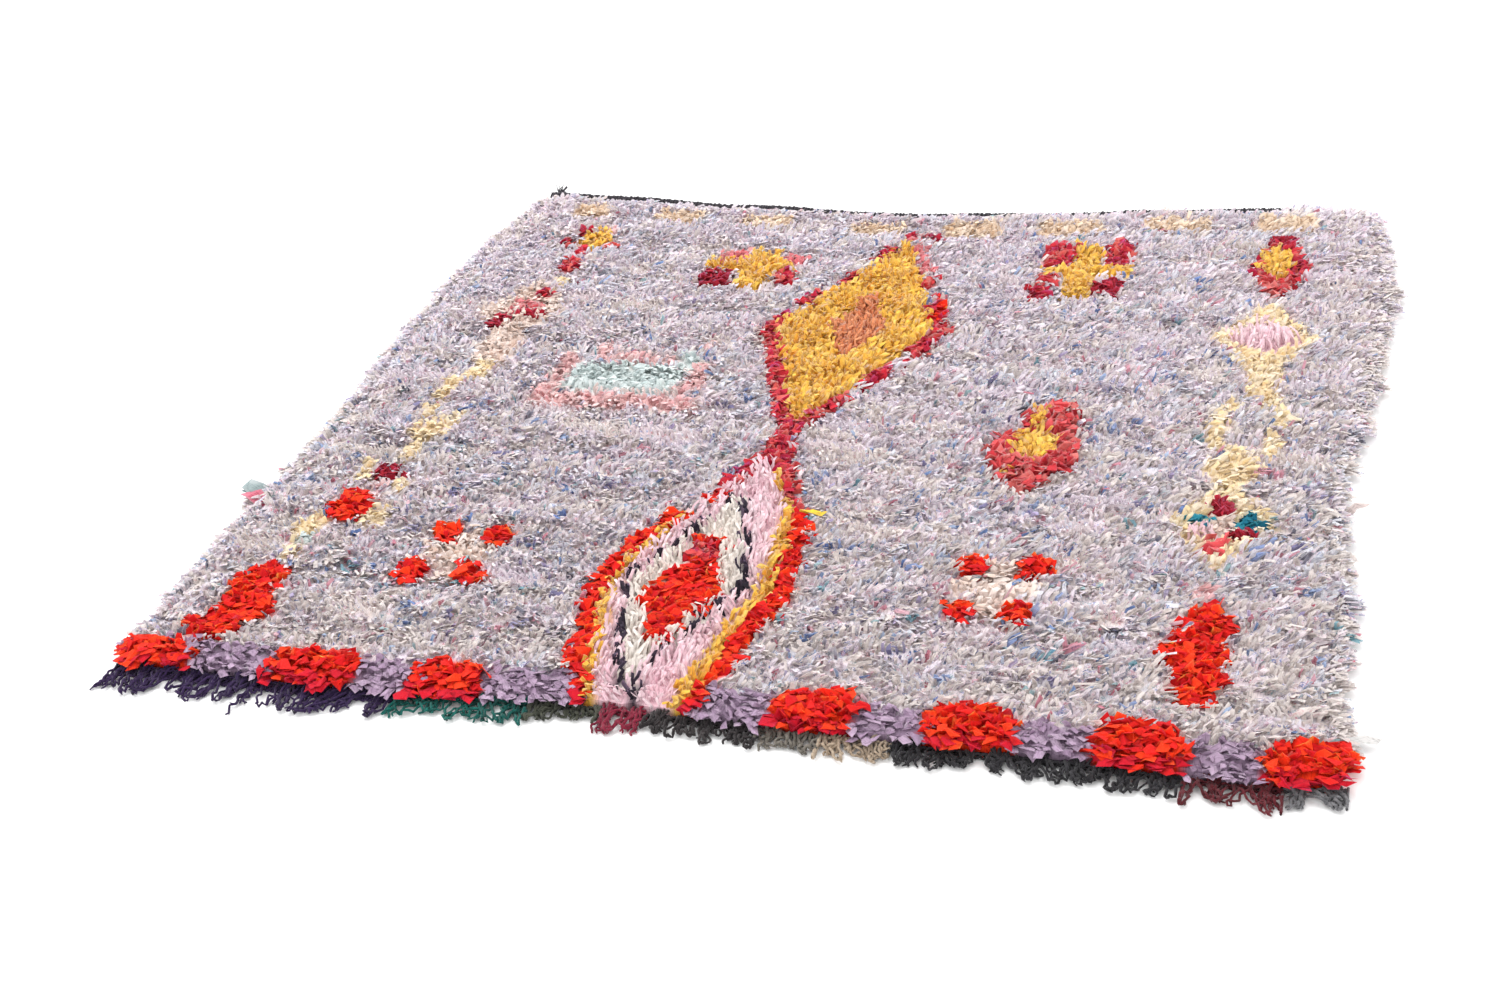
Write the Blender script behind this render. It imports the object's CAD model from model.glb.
# %% [markdown]
# # A boucherouite rug, knot by knot
#
# A boucherouite is a rag rug. A weaver knots strips of old cloth into a woven ground, row after
# row, and packs each row down on the last. It lies flat, but its pile is alive: every rag twists,
# folds and leans its own way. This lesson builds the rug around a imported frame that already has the
# real size, so nothing here is fitted afterwards.

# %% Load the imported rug
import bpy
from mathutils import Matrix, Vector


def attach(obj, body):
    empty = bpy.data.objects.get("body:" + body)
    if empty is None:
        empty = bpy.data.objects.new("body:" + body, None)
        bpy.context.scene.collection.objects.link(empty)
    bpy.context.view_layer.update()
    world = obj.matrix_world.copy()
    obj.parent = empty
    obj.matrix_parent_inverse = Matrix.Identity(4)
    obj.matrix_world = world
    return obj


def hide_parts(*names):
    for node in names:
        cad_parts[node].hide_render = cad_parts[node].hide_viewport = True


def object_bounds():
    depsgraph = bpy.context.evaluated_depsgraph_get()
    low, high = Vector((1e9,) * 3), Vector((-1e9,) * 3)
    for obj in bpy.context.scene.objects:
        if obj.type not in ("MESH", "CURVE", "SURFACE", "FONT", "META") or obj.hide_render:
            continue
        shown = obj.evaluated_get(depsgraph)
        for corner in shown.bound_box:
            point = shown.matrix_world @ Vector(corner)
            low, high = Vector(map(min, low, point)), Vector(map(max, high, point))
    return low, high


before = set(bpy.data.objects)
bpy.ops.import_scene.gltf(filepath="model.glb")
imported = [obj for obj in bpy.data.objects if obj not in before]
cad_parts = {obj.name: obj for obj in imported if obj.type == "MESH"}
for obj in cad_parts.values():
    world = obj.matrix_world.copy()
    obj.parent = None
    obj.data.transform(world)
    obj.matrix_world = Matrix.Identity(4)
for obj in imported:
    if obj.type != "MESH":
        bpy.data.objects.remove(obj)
CAD_LOW, CAD_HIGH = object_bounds()
print("packed nodes:", sorted(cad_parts))

# %% The modules, and one seed for every random draw
import math
from collections import namedtuple

import bpy
import numpy as np
from mathutils import Vector, noise

SEED = 20
chance = np.random.default_rng(SEED)
print("drawing with seed", SEED)

# %% [markdown]
# ## The camera
#
# The rug was photographed through a 50 mm lens from 1.4 m above the floor, which looks down on it
# at about 30 degrees. A camera that stands where the real one stood gives the same outline, so the
# place and the turn below were worked out from the rug's four corners.

# %% Set the camera
CAMERA_PLACE = (0.72706, -2.50615, 1.38919)
CAMERA_TURN = (math.radians(59.856), math.radians(5.331), math.radians(16.040))
LENS_MM = 50

camera_data = bpy.data.cameras.new("studio_camera")
camera_data.lens = LENS_MM
camera = bpy.data.objects.new("studio_camera", camera_data)
camera.location = CAMERA_PLACE
camera.rotation_euler = CAMERA_TURN
bpy.context.scene.collection.objects.link(camera)
bpy.context.scene.camera = camera
print("camera height in metres:", CAMERA_PLACE[2])

# %% [markdown]
# ## Two small helpers
#
# Colours are easiest to read as the hex values of a paint chart, but shaders add and mix light, so
# they need linear numbers. One function turns one into the other. A second one adds a shader node
# together with its settings and its links, which keeps each material short.


# %% Colours and nodes
def linear(hex_colour, strength=1.0):
    """The linear red, green, blue and alpha of an sRGB hex colour."""
    parts = [int(hex_colour[i:i + 2], 16) / 255 for i in (1, 3, 5)]
    lit = [p / 12.92 if p <= 0.04045 else ((p + 0.055) / 1.055) ** 2.4 for p in parts]
    return (*(p * strength for p in lit), 1.0)


def add(material, kind, values=None, links=None, **settings):
    """Adds one shader node with its settings, the values of its sockets and the links into them."""
    made = material.node_tree.nodes.new("ShaderNode" + kind)
    for name, value in settings.items():
        setattr(made, name, value)
    for socket, value in (values or {}).items():
        made.inputs[socket].default_value = value
    for socket, source in (links or {}).items():
        material.node_tree.links.new(source, made.inputs[socket])
    return made


def new_material(name):
    """An empty node material, and its Principled shader."""
    material = bpy.data.materials.new(name)
    material.use_nodes = True
    return material, material.node_tree.nodes["Principled BSDF"]


print("linear orange:", [round(part, 3) for part in linear("#F0401F")])

# %% [markdown]
# ## The studio
#
# The rug lies on a white floor in an even, soft light that comes mostly from above. A wide area
# lamp to the left, a little beyond the middle, gives the rags a light and a dark side, and the white
# world fills the rest. The Standard view keeps the white floor white and the dyes as bright as they
# are.

# %% Floor, lamp and world
FLOOR_HALF = 9.0
FLOOR_DROP = 0.0004
LAMP_PLACE = (-1.3, 0.8, 3.3)
LAMP_SIZE = 2.2
LAMP_WATTS = 64
WORLD_STRENGTH = 1.45

bpy.ops.object.select_all(action="DESELECT")
bpy.ops.mesh.primitive_plane_add(size=2 * FLOOR_HALF, location=(0, 0, -FLOOR_DROP))
floor = bpy.context.object
floor.name = "studio_floor"
paper, paper_shader = new_material("matt_background_paper")
paper_shader.inputs["Base Color"].default_value = linear("#FBFBFB")
paper_shader.inputs["Roughness"].default_value = 0.95
floor.data.materials.append(paper)

lamp_data = bpy.data.lights.new("softbox", "AREA")
lamp_data.shape = "SQUARE"
lamp_data.size = LAMP_SIZE
lamp_data.energy = LAMP_WATTS
lamp = bpy.data.objects.new("softbox", lamp_data)
lamp.location = LAMP_PLACE
lamp.rotation_euler = (-Vector(LAMP_PLACE)).to_track_quat("-Z", "Y").to_euler()
bpy.context.scene.collection.objects.link(lamp)

world = bpy.data.worlds.new("white_room")
world.use_nodes = True
world.node_tree.nodes["Background"].inputs["Color"].default_value = linear("#FFFFFF")
world.node_tree.nodes["Background"].inputs["Strength"].default_value = WORLD_STRENGTH
bpy.context.scene.world = world
bpy.context.scene.view_settings.view_transform = "Standard"
print("softbox of", LAMP_WATTS, "W above a white floor")

# %% [markdown]
# ## The rug's outline
#
# No handmade rug is square. The sides bow a little and the far edge dips in its middle. The tables
# below say how far the pile or the ground reaches at a few places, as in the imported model, and one
# function eases between their rows.

# %% Edges of the rug
HALF_WIDTH = max(abs(CAD_LOW.x), CAD_HIGH.x)
PILE_HEIGHT = 0.028
RIM_HEIGHT = 0.017
SHOULDER = 0.045
SIDE_LOCK = 0.020
FURROW_PITCH = 0.115
FURROW_DEPTH = 0.0025
LUMP_SIZE = 0.075
LUMP_HEIGHT = 0.0050
HEADING_DEPTH = 0.018
ROW_BEND = 0.050
ROW_BEND_SIZE = (0.50, 1.43)
LAYING_STEPS = 6

Edge = namedtuple("Edge", "along reach")
LEFT_RIM = [
    Edge(-0.740, -0.746), Edge(-0.620, -0.744), Edge(-0.420, -0.750), Edge(-0.220, -0.741),
    Edge(-0.050, -0.747), Edge(0.150, -0.764), Edge(0.350, -0.768), Edge(0.520, -0.764),
    Edge(0.680, -0.744), Edge(0.780, -0.726),
]
RIGHT_RIM = [
    Edge(-0.740, 0.740), Edge(-0.600, 0.722), Edge(-0.400, 0.727), Edge(-0.220, 0.708),
    Edge(-0.080, 0.709), Edge(0.050, 0.728), Edge(0.250, 0.742), Edge(0.440, 0.754),
    Edge(0.620, 0.740), Edge(0.780, 0.722),
]
NEAR_EDGE = [
    Edge(-0.750, -0.722), Edge(-0.450, -0.729), Edge(-0.100, -0.718), Edge(0.150, -0.729),
    Edge(0.400, -0.734), Edge(0.640, -0.744), Edge(0.750, -0.733),
]
FAR_EDGE = [
    Edge(-0.760, 0.778), Edge(-0.600, 0.762), Edge(-0.350, 0.735), Edge(-0.050, 0.712),
    Edge(0.150, 0.724), Edge(0.400, 0.755), Edge(0.600, 0.772), Edge(0.760, 0.778),
]


def reach(table, places):
    """How far an edge reaches at each of these places, eased between the rows of its table."""
    stations = np.array([row.along for row in table])
    reaches = np.array([row.reach for row in table])
    high = np.searchsorted(stations, places).clip(1, len(table) - 1)
    part = ((places - stations[high - 1]) / (stations[high] - stations[high - 1])).clip(0, 1)
    eased = part * part * (3 - 2 * part)
    return reaches[high - 1] + (reaches[high] - reaches[high - 1]) * eased


def drift(x, y, size, layer):
    """Smooth noise between about -1 and 1 over the rug, with patches of this size in metres."""
    size_x, size_y = size if isinstance(size, tuple) else (size, size)
    return np.array([noise.noise(Vector((a / size_x, b / size_y, layer))) for a, b in zip(x, y)])


def lay_out(u, v):
    """Where a point of the ground lies, u across from the left and v along from the near edge."""
    x = (2 * u - 1) * (HALF_WIDTH - 2 * SIDE_LOCK)
    for _ in range(LAYING_STEPS):
        near = reach(NEAR_EDGE, x)
        y = near + (reach(FAR_EDGE, x) - HEADING_DEPTH - near) * v
        left = reach(LEFT_RIM, y) + SIDE_LOCK
        x = left + (reach(RIGHT_RIM, y) - SIDE_LOCK - left) * u
    return x, y


def row_bend(x, y):
    """How far the rows of knots stray from a straight line, in metres."""
    return ROW_BEND * drift(x, y, ROW_BEND_SIZE, 3.0)


def pile_height(x, y):
    """The height of the pile's top: furrows between the rows, lumps, and a shoulder at the rim."""
    to_side = np.minimum(x - reach(LEFT_RIM, y), reach(RIGHT_RIM, y) - x) - SIDE_LOCK
    to_end = np.minimum(y - reach(NEAR_EDGE, x), reach(FAR_EDGE, x) - HEADING_DEPTH - y)
    inward = (np.minimum(to_side, to_end) / SHOULDER).clip(0, 1)
    shoulder = np.sqrt(1 - (1 - inward) ** 2)
    furrow = np.cos((y + row_bend(x, y)) / FURROW_PITCH * 2 * math.pi) * FURROW_DEPTH
    lump = drift(x, y, LUMP_SIZE, 8.5) * LUMP_HEIGHT
    top = PILE_HEIGHT + furrow + lump
    return RIM_HEIGHT + lump * 0.5 + (top - RIM_HEIGHT - lump * 0.5) * shoulder


print("pile in the middle, mm:", round(float(pile_height(np.zeros(1), np.zeros(1))[0]) * 1000, 1))

# %% [markdown]
# ## The cloths
#
# The weaver used what the household had worn out: printed shirts and sheets for the pale field,
# orange red jersey, lilac and golden cotton, black and ivory linings. Each cloth gets a row with
# its dyes and the way its strips behave. Jersey curls into wide petals, poplin folds into narrow
# pleats, and the golden rags were left long.

# %% A table of cloths
Cloth = namedtuple("Cloth", "finish width length curl fold spread swept dyes")
CLOTHS = {
    "print": Cloth("printed", 0.0049, 1.07, 0.14, 0.20, 0.6, 0.000, ["#E8DEE4"]),
    "orange": Cloth(
        "jersey", 0.0138, 1.02, 0.45, 0.13, 0.9, 0.000,
        ["#F23815", "#E82815", "#DC1D19", "#C51318"],
    ),
    "lilac": Cloth("plain", 0.0092, 0.90, 0.50, 0.14, 1.2, 0.000, ["#A48CA4", "#AC94AB", "#967E96"]),
    "golden": Cloth(
        "plain", 0.0062, 1.14, 0.10, 0.18, 0.6, 0.008,
        ["#EEBB50", "#E9B44A", "#F0C466", "#E4A843"],
    ),
    "terracotta": Cloth("plain", 0.0044, 1.18, 0.05, 0.24, 0.5, 0.012, ["#D4845A", "#CA7850", "#DA9068"]),
    "raspberry": Cloth(
        "jersey", 0.0112, 1.02, 0.22, 0.12, 0.8, 0.004,
        ["#CE3642", "#C42A38", "#AE2038", "#D45E58", "#CA4648"],
    ),
    "coral": Cloth(
        "jersey", 0.0150, 1.04, 0.20, 0.12, 0.8, 0.003, ["#D85458", "#CE484C", "#D46E6A", "#BA3038"]
    ),
    "salmon": Cloth("plain", 0.0090, 1.00, 0.20, 0.13, 0.8, 0.004, ["#DE8086", "#DA7078", "#E09696"]),
    "oxblood": Cloth("plain", 0.0120, 1.00, 0.22, 0.13, 0.7, 0.004, ["#A82434", "#B82C3E", "#98202E"]),
    "straw": Cloth("washed", 0.0068, 1.00, 0.18, 0.15, 0.7, 0.003, ["#F3DCB5", "#F0D5A9", "#F3E2C7"]),
    "dash": Cloth("washed", 0.0060, 1.04, 0.18, 0.15, 0.7, 0.003, ["#E9D0B7", "#E6CAAE", "#E8D4C2"]),
    "cream": Cloth("washed", 0.0070, 1.02, 0.22, 0.15, 0.6, 0.003, ["#E7D1C6", "#E3CCBF", "#E9D9D1"]),
    "ivory": Cloth("plain", 0.0038, 1.16, 0.06, 0.22, 0.35, 0.018, ["#ECE3DA", "#E6DCD2", "#DFD5CB"]),
    "pink": Cloth("plain", 0.0038, 1.16, 0.06, 0.22, 0.35, 0.018, ["#EEC6D0", "#E8BEC9", "#F1D3DA"]),
    "rose": Cloth("washed", 0.0062, 1.00, 0.15, 0.15, 0.6, 0.003, ["#E8BCBB", "#E4B1B3", "#EAC7C5"]),
    "aqua": Cloth("washed", 0.0074, 1.00, 0.15, 0.15, 0.5, 0.003, ["#D2DCDA", "#CAD6D6", "#D7E0DF"]),
    "black": Cloth("plain", 0.0046, 1.14, 0.06, 0.22, 0.35, 0.018, ["#2B2530", "#241F28", "#352E3A"]),
    "petrol": Cloth("plain", 0.0110, 1.00, 0.25, 0.13, 0.8, 0.002, ["#1D6F86", "#175C72", "#2A8296"]),
}
CLOTH_NAMES = list(CLOTHS)
PRINT = CLOTH_NAMES.index("print")
print(len(CLOTHS), "cloths")

# %% [markdown]
# ## The chart
#
# Lozenges, crosses and blocks are old shapes of Berber weaving. A weaver counts them knot by knot,
# and a computer can do the same: each motif is a plain shape with a centre and two half sizes in
# metres, painted over the ones before it. Because the chart is read once for each knot, its edges
# step from knot to knot as they do on the loom.

# %% Motifs as plain shapes
Motif = namedtuple("Motif", "cloth shape x y half_width half_length")
MOTIFS = [
    # Pale lozenge with a rosy heart, high in the right column, and its tail
    Motif("straw", "lozenge", 0.570, 0.266, 0.076, 0.122),
    Motif("straw", "block", 0.578, 0.150, 0.022, 0.058),
    Motif("pink", "lozenge", 0.571, 0.262, 0.056, 0.058),
    # The chain below it
    Motif("straw", "block", 0.594, 0.085, 0.012, 0.028),
    Motif("straw", "block", 0.542, 0.050, 0.011, 0.022),
    Motif("straw", "block", 0.608, 0.030, 0.010, 0.024),
    Motif("straw", "block", 0.528, -0.020, 0.011, 0.054),
    Motif("straw", "block", 0.602, -0.050, 0.009, 0.038),
    Motif("straw", "lozenge", 0.556, -0.115, 0.042, 0.060),
    Motif("straw", "lozenge", 0.556, -0.250, 0.064, 0.116),
    Motif("cream", "block", 0.552, -0.264, 0.018, 0.024),
    Motif("oxblood", "block", 0.554, -0.222, 0.015, 0.017),
    Motif("petrol", "block", 0.530, -0.250, 0.012, 0.010),
    Motif("petrol", "lozenge", 0.588, -0.254, 0.019, 0.024),
    Motif("oxblood", "block", 0.584, -0.278, 0.019, 0.010),
    Motif("pink", "block", 0.540, -0.288, 0.015, 0.010),
    Motif("coral", "block", 0.550, -0.320, 0.009, 0.014),
    Motif("rose", "block", 0.550, -0.412, 0.010, 0.016),
    # The left column, which mirrors it with other rags
    Motif("cream", "lozenge", -0.582, 0.265, 0.074, 0.115),
    Motif("cream", "block", -0.572, 0.135, 0.030, 0.048),
    Motif("salmon", "block", -0.578, 0.278, 0.024, 0.022),
    Motif("oxblood", "block", -0.605, 0.222, 0.013, 0.020),
    Motif("oxblood", "block", -0.564, 0.246, 0.019, 0.008),
    Motif("raspberry", "block", -0.565, 0.328, 0.012, 0.011),
    Motif("straw", "block", -0.559, 0.378, 0.010, 0.020),
    Motif("straw", "block", -0.572, 0.060, 0.017, 0.030),
    Motif("straw", "block", -0.598, -0.005, 0.012, 0.030),
    Motif("straw", "block", -0.596, -0.078, 0.010, 0.022),
    Motif("straw", "block", -0.546, -0.092, 0.010, 0.022),
    Motif("straw", "lozenge", -0.570, -0.135, 0.034, 0.040),
    Motif("straw", "block", -0.570, -0.195, 0.012, 0.026),
    Motif("straw", "block", -0.612, -0.262, 0.010, 0.026),
    Motif("straw", "block", -0.546, -0.290, 0.010, 0.018),
    Motif("oxblood", "block", -0.580, -0.262, 0.013, 0.013),
    Motif("oxblood", "block", -0.546, -0.268, 0.006, 0.007),
    Motif("rose", "block", -0.576, -0.292, 0.010, 0.008),
    Motif("straw", "block", -0.546, -0.368, 0.018, 0.022),
    Motif("straw", "lozenge", -0.628, -0.405, 0.026, 0.040),
    Motif("straw", "block", -0.622, -0.462, 0.010, 0.020),
    Motif("aqua", "block", -0.616, -0.438, 0.012, 0.014),
    Motif("orange", "round", -0.590, -0.350, 0.030, 0.036),
    Motif("orange", "round", -0.628, -0.550, 0.030, 0.052),
    Motif("orange", "round", -0.617, -0.603, 0.038, 0.032),
    Motif("orange", "round", -0.637, -0.648, 0.035, 0.032),
    # The pale water block with its rosy surround and horns
    Motif("rose", "block", -0.330, -0.018, 0.128, 0.016),
    Motif("rose", "block", -0.338, 0.112, 0.062, 0.010),
    Motif("rose", "block", -0.440, 0.062, 0.013, 0.062),
    Motif("rose", "block", -0.228, 0.068, 0.014, 0.040),
    Motif("rose", "block", -0.232, 0.030, 0.022, 0.012),
    Motif("rose", "lozenge", -0.396, 0.148, 0.018, 0.036),
    Motif("rose", "block", -0.242, 0.165, 0.008, 0.016),
    Motif("aqua", "block", -0.336, 0.052, 0.084, 0.042),
    Motif("aqua", "block", -0.252, 0.115, 0.014, 0.024),
    # Golden cross on the left
    Motif("golden", "block", -0.240, 0.445, 0.023, 0.074),
    Motif("golden", "block", -0.255, 0.455, 0.074, 0.013),
    Motif("salmon", "block", -0.292, 0.492, 0.023, 0.022),
    Motif("salmon", "block", -0.192, 0.488, 0.020, 0.018),
    Motif("oxblood", "block", -0.304, 0.406, 0.024, 0.026),
    Motif("raspberry", "block", -0.190, 0.422, 0.014, 0.022),
    # Golden cross on the right
    Motif("golden", "block", 0.280, 0.468, 0.021, 0.090),
    Motif("golden", "block", 0.285, 0.474, 0.066, 0.015),
    Motif("raspberry", "block", 0.234, 0.532, 0.023, 0.034),
    Motif("raspberry", "block", 0.328, 0.540, 0.020, 0.038),
    Motif("raspberry", "block", 0.222, 0.395, 0.012, 0.024),
    Motif("coral", "block", 0.228, 0.440, 0.012, 0.012),
    Motif("oxblood", "block", 0.324, 0.414, 0.020, 0.022),
    # Flower high on the right
    Motif("raspberry", "lozenge", 0.574, 0.512, 0.048, 0.118),
    Motif("coral", "lozenge", 0.574, 0.455, 0.028, 0.060),
    Motif("oxblood", "block", 0.575, 0.602, 0.020, 0.018),
    Motif("golden", "round", 0.572, 0.526, 0.025, 0.056),
    Motif("oxblood", "block", 0.604, 0.528, 0.010, 0.022),
    # Its fellow high on the left, with a red stem
    Motif("golden", "lozenge", -0.556, 0.540, 0.034, 0.050),
    Motif("oxblood", "block", -0.588, 0.570, 0.011, 0.013),
    Motif("raspberry", "block", -0.521, 0.522, 0.009, 0.014),
    Motif("raspberry", "block", -0.600, 0.534, 0.010, 0.010),
    Motif("rose", "block", -0.538, 0.592, 0.012, 0.014),
    Motif("raspberry", "block", -0.563, 0.490, 0.009, 0.014),
    Motif("raspberry", "block", -0.567, 0.440, 0.014, 0.022),
    # Ring with a golden heart
    Motif("coral", "block", 0.310, 0.010, 0.017, 0.020),
    Motif("coral", "block", 0.310, -0.026, 0.035, 0.028),
    Motif("coral", "block", 0.297, -0.102, 0.055, 0.048),
    Motif("coral", "lozenge", 0.294, -0.142, 0.050, 0.064),
    Motif("golden", "block", 0.295, -0.026, 0.009, 0.028),
    Motif("golden", "block", 0.295, -0.078, 0.032, 0.022),
    Motif("golden", "lozenge", 0.297, -0.102, 0.031, 0.044),
    Motif("golden", "block", 0.279, -0.160, 0.006, 0.009),
    # Cream crosses between four petals
    Motif("cream", "block", -0.394, -0.445, 0.016, 0.060),
    Motif("cream", "block", -0.394, -0.445, 0.050, 0.016),
    Motif("orange", "round", -0.430, -0.400, 0.020, 0.021),
    Motif("orange", "round", -0.353, -0.402, 0.017, 0.024),
    Motif("orange", "round", -0.437, -0.492, 0.018, 0.023),
    Motif("orange", "round", -0.354, -0.492, 0.019, 0.021),
    Motif("cream", "block", 0.305, -0.440, 0.017, 0.062),
    Motif("cream", "block", 0.305, -0.440, 0.050, 0.017),
    Motif("orange", "round", 0.271, -0.394, 0.015, 0.020),
    Motif("orange", "round", 0.346, -0.388, 0.017, 0.020),
    Motif("orange", "round", 0.271, -0.486, 0.017, 0.020),
    Motif("orange", "round", 0.340, -0.486, 0.018, 0.021),
    # Orange lozenge low on the right
    Motif("orange", "lozenge", 0.560, -0.482, 0.034, 0.044),
    Motif("orange", "round", 0.553, -0.535, 0.038, 0.033),
    Motif("orange", "round", 0.560, -0.585, 0.029, 0.022),
    Motif("orange", "round", 0.558, -0.617, 0.021, 0.018),
]


def inside(motif, x, y):
    """Which of these knots lie in a motif."""
    across = abs(x - motif.x) / motif.half_width
    along = abs(y - motif.y) / motif.half_length
    if motif.shape == "lozenge":
        return across + along <= 1
    if motif.shape == "round":
        return across ** 2 + along ** 2 <= 1
    return np.maximum(across, along) <= 1


print(len(MOTIFS), "small motifs")

# %% [markdown]
# Two tall figures stand on the middle line. The upper one is a golden lozenge with a terracotta
# heart and a broken red edge. The lower one is a drop of nested bands, red, golden, pink, black and
# ivory, around a red heart. Their bands are measured inwards from the edge, so one half width for
# each height is all that has to be charted.

# %% The two tall figures
UPPER_MIDDLE = (-0.030, 0.243)
UPPER_SLANT = 0.055
UPPER_GOLD = (0.122, 0.318)
UPPER_EDGE = (0.150, 0.365)
UPPER_HEART = (-0.025, 0.246, 0.043, 0.112)
NECK_HALF = 0.015
LOWER_HALF = [
    Edge(-0.750, 0.058), Edge(-0.700, 0.080), Edge(-0.650, 0.098), Edge(-0.600, 0.104),
    Edge(-0.550, 0.116), Edge(-0.475, 0.128), Edge(-0.400, 0.117), Edge(-0.350, 0.102),
    Edge(-0.300, 0.083), Edge(-0.250, 0.058), Edge(-0.200, 0.040), Edge(-0.150, 0.025),
    Edge(-0.100, 0.012),
]
LOWER_MIDDLE = [
    Edge(-0.750, -0.060), Edge(-0.550, -0.067), Edge(-0.400, -0.062), Edge(-0.300, -0.048),
    Edge(-0.100, -0.047),
]
RED_BAND = 0.022
GOLD_BAND = (0.015, 0.018)
BLACK_LOZENGE = (-0.067, -0.484, 0.080, 0.246)
BLACK_SLANT = 0.055
BLACK_BAND = (0.11, 0.15)
BLACK_TAIL = (-0.062, -0.720, 0.006, 0.035)
LOWER_HEART = (-0.070, -0.500, 0.052, 0.118)
HEART_CAP = (-0.070, -0.412, 0.021, 0.046)


def lozenge_distance(x, y, middle, half, slant=0.0):
    """1 on the edge of a lozenge, less inside it."""
    across = abs(x - middle[0] - slant * (y - middle[1])) / half[0]
    return across + abs(y - middle[1]) / half[1]


def in_block(x, y, block):
    """Inside an upright block, given as its middle and its half sizes."""
    return (abs(x - block[0]) < block[2]) & (abs(y - block[1]) < block[3])


def paint_upper_figure(x, y, paint):
    """The golden lozenge, its broken edge and its heart."""
    broken = drift(x, y, (0.035, 0.045), 21.0)
    left = x < UPPER_MIDDLE[0]
    edge = lozenge_distance(x, y, UPPER_MIDDLE, UPPER_EDGE, UPPER_SLANT) <= 1
    threshold = np.where(y > 0.27, np.where(left, 0.12, -0.10), np.where(left, -0.60, -0.22))
    paint("raspberry", edge & (broken > threshold))
    paint("orange", edge & (broken > 0.15) & ~left & (y > 0.27) & (y < 0.42))
    paint("salmon", edge & (broken > -0.10) & ~left & (y > 0.44))
    paint("golden", lozenge_distance(x, y, UPPER_MIDDLE, UPPER_GOLD, UPPER_SLANT) <= 1)
    paint("terracotta", lozenge_distance(x, y, UPPER_HEART[:2], UPPER_HEART[2:]) <= 1)
    for side in (-1, 1):
        paint("oxblood", in_block(x, y, (0.001 + 0.017 * side, 0.590, 0.007, 0.018)))


def paint_lower_figure(x, y, paint):
    """The drop of nested bands below it, and the neck between the two."""
    middle = reach(LOWER_MIDDLE, y)
    half = reach(LOWER_HALF, y)
    inward = half - abs(x - middle)
    right = x > middle
    here = (inward > 0) & (y < -0.100)
    squeeze = (half / 0.11).clip(0.62, 1)
    paint("raspberry", (abs(x - middle) < NECK_HALF) & (y > -0.15) & (y < -0.05))
    paint("orange", here & ((y < -0.315) | (right & (y < -0.300))))
    paint("raspberry", here & (y > -0.300) & (right | (y > -0.240)))
    paint("salmon", here & (y > -0.250) & ~right & (y < -0.240))
    paint("orange", here & (y > -0.275) & (y < -0.250) & ~right)
    gold = np.where(right, GOLD_BAND[1], GOLD_BAND[0])
    paint("golden", here & (inward > RED_BAND * squeeze) & ((y < -0.33) | right) & (y < -0.20))
    paint("pink", here & (inward > (RED_BAND + gold) * squeeze) & (y < -0.175))
    nested = lozenge_distance(x, y, BLACK_LOZENGE[:2], BLACK_LOZENGE[2:], BLACK_SLANT)
    gaps = drift(x, y, (0.018, 0.030), 33.0)
    paint("black", (nested <= 1) & here & (gaps > -0.04))
    paint("ivory", (nested <= 1 - np.where(right, BLACK_BAND[1], BLACK_BAND[0])) & here)
    paint("black", in_block(x, y, BLACK_TAIL))
    paint("orange", lozenge_distance(x, y, LOWER_HEART[:2], LOWER_HEART[2:]) <= 1)
    cap = in_block(x, y, HEART_CAP)
    paint("orange", cap)
    paint("raspberry", cap & (y > HEART_CAP[1] - 0.010) & (y < HEART_CAP[1] + 0.028))


print("upper lozenge in metres:", [2 * part for part in UPPER_GOLD])

# %% [markdown]
# The near border is a row of fat orange red blocks with lilac between them. The far border is a
# row of faint straw dashes, one for each pause of the weaver. Both follow the edges of the cloth.

# %% Borders, and the whole chart
Span = namedtuple("Span", "left right depth")
ORANGE_BLOCKS = [
    Span(-0.760, -0.630, 0.034), Span(-0.528, -0.412, 0.044), Span(-0.338, -0.252, 0.046),
    Span(0.100, 0.196, 0.058), Span(0.276, 0.376, 0.057), Span(0.464, 0.562, 0.057),
    Span(0.642, 0.760, 0.055),
]
DASH_DEPTH = 0.046
STRAW_DASHES = [
    Span(-0.640, -0.575, DASH_DEPTH), Span(-0.485, -0.402, DASH_DEPTH), Span(-0.326, -0.238, DASH_DEPTH),
    Span(-0.130, -0.038, DASH_DEPTH), Span(0.032, 0.120, DASH_DEPTH), Span(0.186, 0.284, DASH_DEPTH),
    Span(0.352, 0.456, DASH_DEPTH), Span(0.530, 0.620, DASH_DEPTH),
]
LILAC_DEPTH = 0.042
DASH_OFFSET = 0.068


def chart(x, y):
    """The number of the cloth at each of these places, painted motif by motif."""
    cloth = np.full(len(x), PRINT)

    def paint(name, where):
        cloth[where] = CLOTH_NAMES.index(name)

    from_near = y - reach(NEAR_EDGE, x)
    to_far = reach(FAR_EDGE, x) - y
    paint("lilac", from_near < LILAC_DEPTH)
    for dash in STRAW_DASHES:
        beside = (x > dash.left) & (x < dash.right)
        paint("dash", beside & (abs(to_far - DASH_OFFSET - dash.depth / 2) < dash.depth / 2))
    paint_upper_figure(x, y, paint)
    paint_lower_figure(x, y, paint)
    for motif in MOTIFS:
        paint(motif.cloth, inside(motif, x, y))
    for block in ORANGE_BLOCKS:
        middle = (block.left + block.right) / 2
        bulge = 1 - 0.35 * ((x - middle) / (block.right - block.left) * 2) ** 4
        paint("orange", (x > block.left) & (x < block.right) & (from_near < block.depth * bulge))
    return cloth


print("cloth at the middle:", CLOTH_NAMES[chart(np.zeros(1), np.zeros(1))[0]])

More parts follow.
